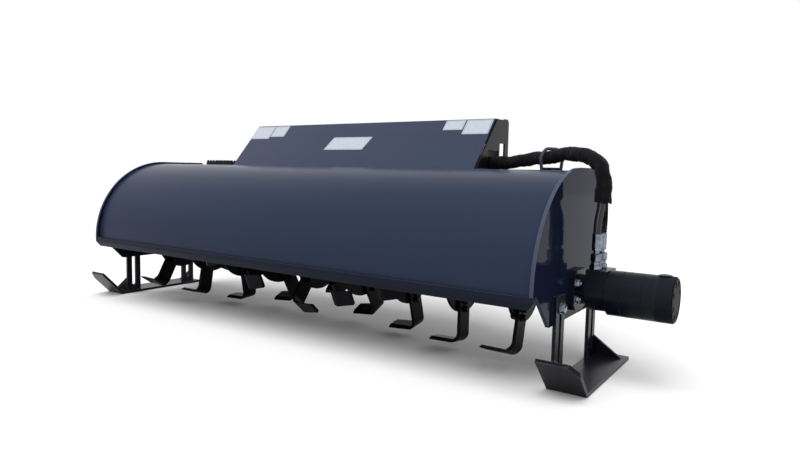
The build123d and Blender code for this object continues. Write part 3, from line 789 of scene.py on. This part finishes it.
# %% Welds of the hood and the quick-attach frame
hitch_low, hitch_high = -574.0, 594.0
inner_x, hitch_y = 955.0, 240.0
arc_y, arc_z, arc_radius = 9.0, 266.0, 305.0
hood_line = [(arc_y - arc_radius * cos(a), arc_z + arc_radius * sin(a))
             for a in [radians(6 * n) for n in range(16)]] + [(120, hood_top), (216, hood_top)]
hood_welds = []
for x, lean in ((-inner_x, 1), (inner_x, -1)):
    for n in range(0, len(hood_line) - 1, 3):
        y, z = hood_line[n]
        up = (lean, (y - arc_y) / arc_radius, max(0.25, (z - arc_z) / arc_radius))
        hood_welds.append(([(x, *point) for point in hood_line[n:n + 3]], up, 2.6, 3.2))
for x, out in ((hitch_low, -1), (hitch_high, 1)):
    hood_welds.append(([(x, 90, hood_top), (x, 162, hood_top)], (out, 0, 1), 3.0, 3.4))
    for high, low in ((552, 470), (420, 340)):
        hood_welds.append(([(x, hitch_y, high), (x, hitch_y, low)], (out, 1, 0), 3.0, 3.4))
for start in (-540, -300, -60, 180, 420):
    hood_welds.append(([(start, 79.5, hood_top), (start + 60, 79.5, hood_top)], (0, -1, 0.7), 2.4, 3.2))
weld_piece("hood_welds", hood_welds, "frame", "body_paint", "sheet_paint")

# %% Welds of the shoes
shoe_welds = []
for side in (-1, 1):
    leg_x, gusset_in, gusset_out = [side * (plate_x + off) for off in (10, 22, 84)]
    for y in leg_ys:
        shoe_welds.append(([(leg_x, y - 20, 10), (leg_x, y + 20, 10)], (side, 0, 1), 3.2, 3.6))
    for y in (-171, 163):
        shoe_welds.append(([(gusset_in, y, 10), (gusset_out, y, 10)], (0, -1, 1), 2.8, 3.4))
weld_piece("shoe_welds", shoe_welds, "frame", "dark_paint", "satin_black")

# %% Welds of the rotor
tube_radius = 44.5
rotor_welds = []
for disc in disc_x:
    for side in (-1, 1):
        x = disc + side * 5
        seam = [(x, tube_radius * cos(a), rotor_z + tube_radius * sin(a))
                for a in [tau * n / 24 for n in range(25)]]
        for n in range(0, 24, 4):
            _, y, z = seam[n + 2]
            up = (side, y / tube_radius, (z - rotor_z) / tube_radius)
            rotor_welds.append((seam[n:n + 5], up, 3.2, 5.0))
weld_piece("rotor_welds", rotor_welds, "rotor", "dark_paint", "tine_black")

# %% [markdown]
# ## The grommet in the side plate
# The sleeve goes behind the cover through a window in the right side plate, and a rubber grommet fills the
# window round it, so that the steel can't cut the cloth.  A thin box is inset twice for the grommet's
# lip, and its inner faces, drawn together, make the hollow that the sleeve sits in.

# %% Grommet
side_plate_middle, window_middle_y, window_middle_z = 591.0, 209.0, hood_top + 33
grommet = box(3.0, 81.4, 65.4, at(side_plate_middle, window_middle_y, window_middle_z))
edit(grommet, "FACE", lambda f: abs(f.normal.x) > 0.9)
bpy.ops.mesh.inset(thickness=0.006)
bpy.ops.mesh.inset(thickness=0.002)
edit(grommet, "FACE", lambda f: abs(f.normal.x) > 0.9 and f.calc_area() > 0.002)
bpy.ops.transform.resize(value=(0.5, 1, 1))
edit(grommet, "EDGE", lambda e: abs(e.verts[0].co.x - e.verts[1].co.x) > 0.002)
bpy.ops.mesh.bevel(offset=0.002, segments=2, affect="EDGES")
done(grommet, "window_grommet", "frame", "dark_paint", "screw_black")

# %% [markdown]
# ## Decals
# The cover carries five vinyl stickers: two at each end and one, cut as a slanted badge, in the middle.
# All of them are blank here.  A sticker is a thin plate that is laid on the slope: its corners are rounded
# by bevelling its four upright edges, and its top face is inset by a hair for its rim.

# %% A sticker on the cover's slope
cover_foot, cover_top = (79.0, hood_top), (230.0, 745.0)
cover_run = (cover_top[0] - cover_foot[0], cover_top[1] - cover_foot[1])
slope_length = hypot(*cover_run)
up_slope = Vector((0, cover_run[0], cover_run[1])) / slope_length
off_slope = Vector((0, -cover_run[1], cover_run[0])) / slope_length
film = 0.0004


def sticker(name, x_low, x_high, s_low, s_high, slant):
    """A blank sticker between two marks across the cover and two up its slope."""
    wide, tall, slant = (x_high - x_low) / 1000, (s_high - s_low) / 1000, slant / 1000
    clear()
    bpy.ops.mesh.primitive_cube_add(size=1.0)
    plate = bpy.context.object
    bpy.ops.transform.resize(value=(wide, tall, film))
    bpy.ops.object.transform_apply(scale=True)
    edit(plate, "VERT", lambda v: v.co.y > 0)
    bpy.ops.transform.translate(value=(slant, 0, 0))
    edit(plate, "EDGE", lambda e: abs(e.verts[0].co.z - e.verts[1].co.z) > film / 2)
    bpy.ops.mesh.bevel(offset=0.0035, segments=4, affect="EDGES")
    edit(plate, "FACE", faces_up)
    bpy.ops.mesh.inset(thickness=0.0002)
    clear()
    uv = plate.data.uv_layers.active or plate.data.uv_layers.new(name="UVMap")
    for loop in plate.data.loops:
        co = plate.data.vertices[loop.vertex_index].co
        lean = slant * (co.y / tall + 0.5)
        uv.data[loop.index].uv = ((co.x - lean) * 100 + wide * 50, co.y * 100 + tall * 50)
    foot = at((x_low + x_high) / 2, *cover_foot)
    place = foot + up_slope * ((s_low + s_high) / 2000) + off_slope * 0.0003
    axes = Matrix(((1, 0, 0), (0, up_slope.y, off_slope.y), (0, up_slope.z, off_slope.z))).to_4x4()
    plate.data.transform(Matrix.Translation(place) @ axes)
    return done(plate, name, "frame", "vinyl", "vinyl_" + name)


# %% Stick the decals on the cover
stickers = {
    "decal_left_outer": (-568, -458, 153, 226, 0.0),
    "decal_left_inner": (-455, -374, 164, 226, 0.0),
    "decal_badge": (-106, 84, 87, 153, 19.0),
    "decal_right_inner": (399, 478, 180, 227, 0.0),
    "decal_right_outer": (483, 584, 158, 227, 0.0),
}
for name, sizes in stickers.items():
    sticker(name, *sizes)

# %% [markdown]
# ## Finishes
# Every finish is procedural: its pattern is worked out from where a point lies on the machine, so it has
# no seams and needs no pictures.  Effects that several finishes share are node groups.  The first one
# rounds and marks edges: a Bevel node looks a short way round each point and turns the normal as if the
# sharp edge were worn round.  Where that normal leaves the true one, the paint is thin, and that is the
# mask for wear, which also carries a painted highlight along the edges.

# %% Add shader nodes


def feed(node, values):
    """Give some of a node's inputs, by name or number, a value each or the socket that feeds it."""
    for key, value in values.items():
        if isinstance(value, bpy.types.NodeSocket):
            node.id_data.links.new(value, node.inputs[key])
        else:
            node.inputs[key].default_value = value


def add(tree, kind, pick, values=None, **settings):
    """Add a node, feed its inputs and return the output that is picked, or all of them for None."""
    node = tree.nodes.new("ShaderNode" + kind)
    for key, value in settings.items():
        setattr(node, key, value)
    feed(node, values or {})
    return node.outputs[pick] if pick else node.outputs


# %% Group: soft edges


def group_of(name, inputs, outputs):
    """A new shader group with named number inputs and outputs: its tree, what comes in, and its end."""
    group = bpy.data.node_groups.new(name, "ShaderNodeTree")
    for label, value in inputs.items():
        socket = group.interface.new_socket(name=label, in_out="INPUT", socket_type="NodeSocketFloat")
        socket.default_value = value
    for label, kind in outputs.items():
        group.interface.new_socket(name=label, in_out="OUTPUT", socket_type=f"NodeSocket{kind}")
    print("group:", name)
    return group, group.nodes.new("NodeGroupInput").outputs, group.nodes.new("NodeGroupOutput")


def remap(tree, value, low, high, to_low=0.0, to_high=1.0):
    """Stretch the part of a value between two marks over another range, and cut off what lies outside."""
    marks = {"From Min": low, "From Max": high, "To Min": to_low, "To Max": to_high}
    return add(tree, "MapRange", "Result", {"Value": value, **marks})


soft_edge, _, edge_out = group_of("Soft edge", {}, {"Normal": "Vector", "Mask": "Float"})
rounded = add(soft_edge, "Bevel", "Normal", {"Radius": 0.0016}, samples=6)
truth = add(soft_edge, "NewGeometry", "Normal")
agreement = add(soft_edge, "VectorMath", "Value", {0: rounded, 1: truth}, operation="DOT_PRODUCT")
feed(edge_out, {"Normal": rounded, "Mask": remap(soft_edge, agreement, 0.995, 0.90)})

# %% [markdown]
# Sprayed and baked paint is never flat: it dries with a fine dimpling like the peel of an orange, and its
# shade drifts a little over a large sheet, mostly along the way it was rolled.  The second group gives
# both, from noise at two scales.

# %% Group: sprayed coat


def noisy(tree, place, scale, detail, roughness=0.5):
    """Noise between 0 and 1 at a place."""
    return add(tree, "TexNoise", "Fac", {"Vector": place, "Scale": scale, "Detail": detail,
                                         "Roughness": roughness})


coat, coat_in, coat_out = group_of(
    "Sprayed coat", {"Peel scale": 260.0, "Drift scale": 3.0, "Stretch": 0.25},
    {"Height": "Float", "Drift": "Float"})
place = add(coat, "TexCoord", "Object")
stretch = add(coat, "CombineXYZ", "Vector", {"X": coat_in["Stretch"], "Y": 1.0, "Z": 1.0})
scaled = add(coat, "VectorMath", "Vector", {0: place, 1: stretch}, operation="MULTIPLY")
feed(coat_out, {"Height": noisy(coat, place, coat_in["Peel scale"], 2.0),
                "Drift": noisy(coat, scaled, coat_in["Drift scale"], 5.0, 0.55)})

# %% [markdown]
# Dust settles on what faces up and gathers low down.  The third group looks at the normal's upward part
# and at the height above the floor, and breaks both up with noise.

# %% Group: dust


def calc(tree, operation, *values):
    """One step of arithmetic with numbers or sockets."""
    return add(tree, "Math", "Value", dict(enumerate(values)), operation=operation)


dust_group, dust_in, dust_out = group_of("Dust", {"Amount": 0.3}, {"Mask": "Float"})
spot = add(dust_group, "TexCoord", "Object")
facing_up = add(dust_group, "SeparateXYZ", "Z", {"Vector": add(dust_group, "NewGeometry", "Normal")})
height = add(dust_group, "SeparateXYZ", "Z", {"Vector": spot})
either = calc(dust_group, "MAXIMUM", remap(dust_group, facing_up, 0.2, 1.0, 0.0, 0.6),
              remap(dust_group, height, 0.14, 0.0, 0.0, 0.8))
broken = remap(dust_group, noisy(dust_group, spot, 14.0, 8.0, 0.68), 0.42, 0.72)
both = calc(dust_group, "MULTIPLY", either, broken)
feed(dust_out, {"Mask": calc(dust_group, "MULTIPLY", both, dust_in["Amount"])})

# %% [markdown]
# One function mixes a painted finish from these three groups.  The hood has the satin gloss of rolled
# sheet, the flat end plates are far smoother, and the cast and bent parts are black.  What differs is only
# colour, gloss, grain and how much the edges are lightened, as wear and as a painted highlight.  The cut
# rims of the end plates and of the motor's cap are painted lighter than their faces, which look along X:
# that is a painted highlight, so a finish can have a rim highlight colour as well.

# %% A painted finish
finishes = {}
dust_colour, dust_rough = (0.13, 0.125, 0.12), 0.75


def mixed(tree, mask, a, b):
    """The first colour where a mask is 0 and the second where it is 1."""
    a, b = [c if isinstance(c, bpy.types.NodeSocket) else (*c, 1) for c in (a, b)]
    return add(tree, "Mix", "Result", {"Factor": mask, "A": a, "B": b}, data_type="RGBA")


def new_finish(name):
    """A new material, noted under its name: its node tree and its shader."""
    material = bpy.data.materials.new(name)
    material.use_nodes = True
    finishes[name] = material
    return material.node_tree, material.node_tree.nodes["Principled BSDF"]


def painted(name, colour, light, edge, rough, specular, peel, drift=(3.0, 0.25), wear_and_glint=0.6, dust=0.05,
            rim_highlight=None):
    """A painted metal: colour and lighter patches, edges worn and with a painted highlight, gloss, grain
    (scale, strength), dust and a painted rim highlight.
    """
    tree, shader = new_finish(name)
    peel_scale, peel_strength = peel
    scales = {"Peel scale": peel_scale, "Drift scale": drift[0], "Stretch": drift[1]}
    grain = add(tree, "Group", None, scales, node_tree=coat)
    edges = add(tree, "Group", None, node_tree=soft_edge)
    dirt = add(tree, "Group", "Mask", {"Amount": dust}, node_tree=dust_group)
    patches = remap(tree, grain["Drift"], 0.3, 0.7)
    shade = mixed(tree, patches, colour, light)
    # Painted highlight: where the normal doesn't look along X, on the cut rims, the colour turns lighter.
    if rim_highlight:
        along_x = add(tree, "SeparateXYZ", "X", {"Vector": add(tree, "TexCoord", "Normal")})
        on_lit_rim = remap(tree, calc(tree, "ABSOLUTE", along_x), 0.3, 0.9, 1.0, 0.0)
        shade = mixed(tree, on_lit_rim, shade, rim_highlight)
    # The edge colour marks worn paint and also paints a highlight along the edges.
    chips_and_glints = remap(tree, grain["Height"], 0.35, 0.65, 0.0, wear_and_glint)
    shade = mixed(tree, calc(tree, "MULTIPLY", edges["Mask"], chips_and_glints), shade, edge)
    shade = mixed(tree, dirt, shade, dust_colour)
    gloss = remap(tree, patches, 0.0, 1.0, rough * 0.85, rough * 1.15)
    duller = add(tree, "Mix", "Result", {"Factor": dirt, "A": gloss, "B": dust_rough}, data_type="FLOAT")
    bump = add(tree, "Bump", "Normal", {"Strength": peel_strength, "Distance": 0.002,
                                        "Height": grain["Height"], "Normal": edges["Normal"]})
    feed(shader, {"Base Color": shade, "Roughness": duller, "Normal": bump, "Specular IOR Level": specular})


# %% [markdown]
# Each paint names its colour, its lighter patches and its edge colour, for wear and a painted highlight,
# then its roughness and specular level, then the scale and strength of its grain.  Rolled sheets, castings
# and bent parts each share what the rest has in common.  The specular levels are low, because reflections
# show the white surroundings.

# %% The paints
rolled = {"peel": (320.0, 0.03), "drift": (2.2, 0.12)}
cast = {"drift": (9.0, 0.6)}
bent = {"colour": (0.005, 0.0055, 0.009), "light": (0.008, 0.0085, 0.013), "peel": (300.0, 0.06)}

painted("sheet_paint", (0.024, 0.035, 0.070), (0.031, 0.044, 0.085), (0.14, 0.16, 0.20), 0.27, 0.08,
        wear_and_glint=0.7, **rolled)
# The cover's paint is the hood's paint made lighter: painted light on its slope, which faces up.
painted("cover_paint", (0.029, 0.042, 0.084), (0.038, 0.053, 0.100), (0.16, 0.18, 0.22), 0.27, 0.2,
        wear_and_glint=0.7, **rolled)
# The lip's paint is the hood's paint made darker: painted shade on the low front edge.
painted("lip_paint", (0.012, 0.015, 0.030), (0.016, 0.020, 0.038), (0.16, 0.18, 0.23), 0.26, 0.06,
        wear_and_glint=0.8, **rolled)
# The plate's rim colour is a painted highlight on its cut edge.
painted("plate_paint", (0.010, 0.016, 0.040), (0.013, 0.020, 0.048), (0.22, 0.25, 0.30), 0.06, 0.030,
        (180.0, 0.015), (3.0, 0.4), wear_and_glint=0.9, dust=0.03, rim_highlight=(0.075, 0.090, 0.135))
painted("satin_black", edge=(0.08, 0.085, 0.10), rough=0.32, specular=0.16, wear_and_glint=0.7, dust=0.12, **bent)
# The shoes' light blue-grey edges are a painted highlight along their edges.
painted("shoe_black", edge=(0.42, 0.46, 0.55), rough=0.30, specular=0.12, wear_and_glint=1.0, dust=0.08, **bent)
# The ring's paint is the hood's paint made lighter and greyer: a painted highlight on the round bar.
painted("ring_paint", (0.040, 0.044, 0.062), (0.055, 0.060, 0.080), (0.20, 0.22, 0.26), 0.30, 0.35,
        (300.0, 0.05), wear_and_glint=0.8)
painted("tine_black", (0.003, 0.003, 0.005), (0.006, 0.006, 0.009), (0.06, 0.065, 0.08), 0.34, 0.04,
        (240.0, 0.10), wear_and_glint=0.8, dust=0.06)
painted("motor_black", (0.006, 0.0075, 0.013), (0.013, 0.016, 0.025), (0.06, 0.062, 0.07), 0.24, 0.07,
        (420.0, 0.09), wear_and_glint=0.5, dust=0.04, **cast)
# The cap's rim colour is a painted highlight on its cut edge.
painted("cap_black", (0.004, 0.0045, 0.007), (0.007, 0.0075, 0.011), (0.10, 0.105, 0.12), 0.42, 0.012,
        (420.0, 0.12), wear_and_glint=0.9, dust=0.06, rim_highlight=(0.016, 0.018, 0.026), **cast)
painted("screw_black", (0.003, 0.003, 0.004), (0.005, 0.005, 0.007), (0.06, 0.06, 0.065), 0.38, 0.03,
        (700.0, 0.05))
print("painted finishes:", len(finishes))

# %% [markdown]
# Zinc plating on steel is bright, faintly blue and a little cloudy: patches a centimetre or two across
# reflect more or less, and more or less sharply.  Turned steel is the same metal without the tint, with
# fine rings across its axis from the lathe.

# %% Bare metals


def metal(name, dark, bright, rough, rings=0.0):
    """A bare metal with cloudy gloss, and turning marks along X where rings are wanted."""
    tree, shader = new_finish(name)
    place = add(tree, "TexCoord", "Object")
    clouds = noisy(tree, place, 60.0, 6.0, 0.6)
    ramp = tree.nodes.new("ShaderNodeValToRGB")
    for stop, position, colour in zip(ramp.color_ramp.elements, (0.32, 0.68), (dark, bright)):
        stop.position = position
        stop.color = (*colour, 1)
    feed(ramp, {"Fac": clouds})
    gloss = remap(tree, clouds, 0.3, 0.7, rough * 0.7, rough * 1.35)
    marks = add(tree, "TexWave", "Fac", {"Vector": place, "Scale": 900.0, "Distortion": 1.5, "Detail": 2.0},
                wave_type="BANDS", bands_direction="X")
    fine = noisy(tree, place, 500.0, 3.0)
    relief = add(tree, "Mix", "Result", {"Factor": rings, "A": fine, "B": marks}, data_type="FLOAT")
    edges = add(tree, "Group", "Normal", node_tree=soft_edge)
    bump = add(tree, "Bump", "Normal", {"Strength": 0.08, "Distance": 0.001, "Height": relief,
                                        "Normal": edges})
    feed(shader, {"Metallic": 1.0, "Base Color": ramp.outputs["Color"], "Roughness": gloss, "Normal": bump})


metal("zinc_plate", (0.10, 0.12, 0.15), (0.27, 0.31, 0.37), 0.26)
metal("bare_steel", (0.16, 0.16, 0.17), (0.30, 0.30, 0.31), 0.24, rings=0.8)
print("metals: zinc_plate, bare_steel")

# %% [markdown]
# A hydraulic hose is cured in a wrap of wet cloth, which leaves its weave in the rubber as a fine grain,
# and along it runs a thin light grey line, at the same place round every hose.  The hose's UV map counts
# centimetres, so the grain comes out at its real size.

# %% Hose rubber
tree, shader = new_finish("hose_rubber")
laid_out = add(tree, "UVMap", "UV", uv_map="UVMap")
round_it = add(tree, "SeparateXYZ", "X", {"Vector": laid_out})
line_at, line_half_width = 5.05, 0.10
stripe = calc(tree, "COMPARE", round_it, line_at, line_half_width)
wrap = add(tree, "TexWave", "Fac", {"Vector": laid_out, "Scale": 7.0, "Distortion": 0.6},
           bands_direction="DIAGONAL")
scuffs = noisy(tree, laid_out, 1.4, 8.0, 0.7)
black = mixed(tree, remap(tree, scuffs, 0.45, 0.8), (0.005, 0.005, 0.007), (0.014, 0.014, 0.015))
bump = add(tree, "Bump", "Normal", {"Strength": 0.25, "Distance": 0.0004, "Height": wrap})
feed(shader, {"Base Color": mixed(tree, stripe, black, (0.12, 0.125, 0.14)),
              "Roughness": remap(tree, scuffs, 0.0, 1.0, 0.40, 0.62), "Normal": bump})
print("finish: hose_rubber")

# %% [markdown]
# The sleeve is a plain weave of flat nylon yarn about two millimetres wide.  Two waves across each other
# make the over and under: where one yarn rises the other dips.  Nylon shines a little along each yarn and
# greys where it rubs, so the raised yarns are painted lighter, as a painted sheen and as rubbed yarn, and
# the dips darker, as painted shade; the sheen is soft.

# %% Woven sleeve
tree, shader = new_finish("sleeve_cloth")
laid_out = add(tree, "UVMap", "UV", uv_map="UVMap")
parts = add(tree, "SeparateXYZ", None, {"Vector": laid_out})
yarn_width = 0.2
waves = [calc(tree, "SINE", calc(tree, "MULTIPLY", parts[axis], pi / yarn_width)) for axis in ("X", "Y")]
raised = remap(tree, calc(tree, "MULTIPLY", *waves), -1.0, 1.0)
rubbed = remap(tree, noisy(tree, laid_out, 0.35, 6.0, 0.65), 0.42, 0.70)
# Painted sheen and shade: raised yarns lighter, partly as rubbed yarn, and the dips darker.
yarn_sheen_and_wear = mixed(tree, raised, (0.0025, 0.0022, 0.0035), (0.009, 0.0085, 0.011))
bump = add(tree, "Bump", "Normal", {"Strength": 0.45, "Distance": 0.0006, "Height": raised})
feed(shader, {"Base Color": mixed(tree, rubbed, yarn_sheen_and_wear, (0.014, 0.0135, 0.017)),
              "Roughness": remap(tree, raised, 0.0, 1.0, 0.62, 0.85), "Normal": bump,
              "Sheen Weight": 0.05, "Sheen Roughness": 0.5, "Specular IOR Level": 0.07})
print("finish: sleeve_cloth")

# %% [markdown]
# The stickers are white vinyl, slightly glossy, with faint grime and a thin printed rule inside the
# rim.  Their UV map counts centimetres from the lower left corner, so the rule can be drawn by comparing
# with each sticker's own width and height.

# %% Vinyl


def vinyl(name, wide, tall):
    """White vinyl of a given size in centimetres, with a printed rule near its rim."""
    tree, shader = new_finish(name)
    laid_out = add(tree, "UVMap", "UV", uv_map="UVMap")
    parts = add(tree, "SeparateXYZ", None, {"Vector": laid_out})
    to_rim = []
    for axis, size in (("X", wide), ("Y", tall)):
        from_middle = calc(tree, "ABSOLUTE", calc(tree, "SUBTRACT", parts[axis], size / 2))
        to_rim.append(calc(tree, "SUBTRACT", size / 2, from_middle))
    rule_at, rule_half_width = 0.38, 0.06
    rule = calc(tree, "COMPARE", calc(tree, "MINIMUM", *to_rim), rule_at, rule_half_width)
    grime = noisy(tree, laid_out, 0.9, 8.0, 0.7)
    white = mixed(tree, remap(tree, grime, 0.40, 0.75), (0.56, 0.61, 0.69), (0.44, 0.49, 0.57))
    feed(shader, {"Base Color": mixed(tree, rule, white, (0.12, 0.17, 0.22)),
                  "Roughness": remap(tree, grime, 0.0, 1.0, 0.28, 0.46)})


for name, (x_low, x_high, s_low, s_high, _) in stickers.items():
    vinyl("vinyl_" + name, (x_high - x_low) / 10, (s_high - s_low) / 10)
print("finishes:", len(finishes))

# %% [markdown]
# ## Who wears what
# The record says which slot each loaded piece belongs to, and most slots have a finish of the same name.
# Some pieces get a finish of their own within their slot: the flat end plates are smoother than the rolled
# hood, and the motor shines more than the tines.

# %% Dress every piece
slot_finish = {"body_paint": "sheet_paint", "dark_paint": "satin_black"}
own_finish = {
    # The cover's lighter paint is painted light.
    "cover_paint": ["cover_panel"],
    # The lip's darker paint is painted shade.
    "lip_paint": ["front_lip"],
    # The ring's lighter paint is a painted highlight.
    "ring_paint": ["hose_ring"],
    "shoe_black": ["skid_sole_left", "skid_sole_right", "skid_gussets_left", "skid_gussets_right",
                   "skid_legs_left", "skid_legs_right"],
    "plate_paint": ["end_plate_left", "end_plate_right"],
    "satin_black": ["hitch_side_left", "hitch_side_right"],
    "tine_black": ["rotor_tube", "rotor_discs", "tines_left_hand", "tines_right_hand"],
    "motor_black": ["motor_flange", "motor_hub", "motor_port_block", "motor_body", "motor_port_plug"],
    "cap_black": ["motor_end_cap"],
}
wears = {}
for part in frame["record"]["subparts"]:
    slot = part["material_slot"]
    wears[part["node"]] = slot_finish.get(slot, slot)
for finish, nodes in own_finish.items():
    wears.update(dict.fromkeys(nodes, finish))
things = {name: frame["nodes"][name] for name in wears}
things.update({name: bpy.data.objects[name] for name in wanted_finish})
for name, finish in {**wears, **wanted_finish}.items():
    materials = things[name].data.materials
    materials.clear()
    materials.append(finishes[finish])
print("dressed:", len(things))

# %% [markdown]
# ## Light and floor
# A product is shown on white, yet white light from everywhere would wash a glossy paint out.  So the world
# is white only to the eye and in reflections, and lights the surfaces at less than half that.  A broad,
# distant lamp, overhead and a little in front, gives the paint its gradients and the floor its soft
# shadow.  A weaker one behind the machine lights what faces back and up.

# %% The studio


def looked_at(tree):
    """A socket that is 1 for what an eye sees: straight, mirrored or through glass."""
    ray = add(tree, "LightPath", None)
    mirrored = calc(tree, "MAXIMUM", ray["Is Camera Ray"], ray["Is Glossy Ray"])
    return calc(tree, "MAXIMUM", mirrored, ray["Is Transmission Ray"])


world = bpy.data.worlds.new("studio")
bpy.context.scene.world = world
world.use_nodes = True
tree = world.node_tree
world_light, seen_light = 0.44, 1.0
level = remap(tree, looked_at(tree), 0.0, 1.0, world_light, seen_light)
feed(tree.nodes["Background"], {"Color": (1, 1, 1, 1), "Strength": level})


def sky_lamp(name, direction, spread, strength):
    """A far, very soft lamp that shines from a direction: it lights floor and machine evenly."""
    data = bpy.data.lights.new(name, "SUN")
    data.angle = radians(spread)
    data.energy = strength
    thing = bpy.data.objects.new(name, data)
    bpy.context.scene.collection.objects.link(thing)
    thing.visible_glossy = False
    thing.matrix_world = Vector(direction).to_track_quat("Z", "Y").to_matrix().to_4x4()
    print(name, "spread", spread, "strength", strength)


sky_lamp("overhead", (-0.1, -0.42, 1.0), 60, 2.4)
sky_lamp("behind", (0.25, 1.0, 0.55), 50, 0.8)

# %% [markdown]
# The floor is pale and matt.  To the camera and in reflections it is white, and to everything else it is a
# mid grey, as a workshop's floor would be, so that it doesn't light the machine's underside too much.

# %% The floor
clear()
bpy.ops.mesh.primitive_plane_add(size=30, location=(0, 0, -0.0005))
floor = bpy.context.object
floor.name = "floor"
tree, shader = new_finish("floor_matt")
mid_grey, white = (0.32, 0.32, 0.32), (0.97, 0.97, 0.97)
feed(shader, {"Base Color": mixed(tree, looked_at(tree), mid_grey, white), "Roughness": 0.9,
              "Specular IOR Level": 0.0})
floor.data.materials.append(finishes["floor_matt"])
bpy.context.scene.view_settings.view_transform = "Standard"
print("floor", floor.dimensions.x)
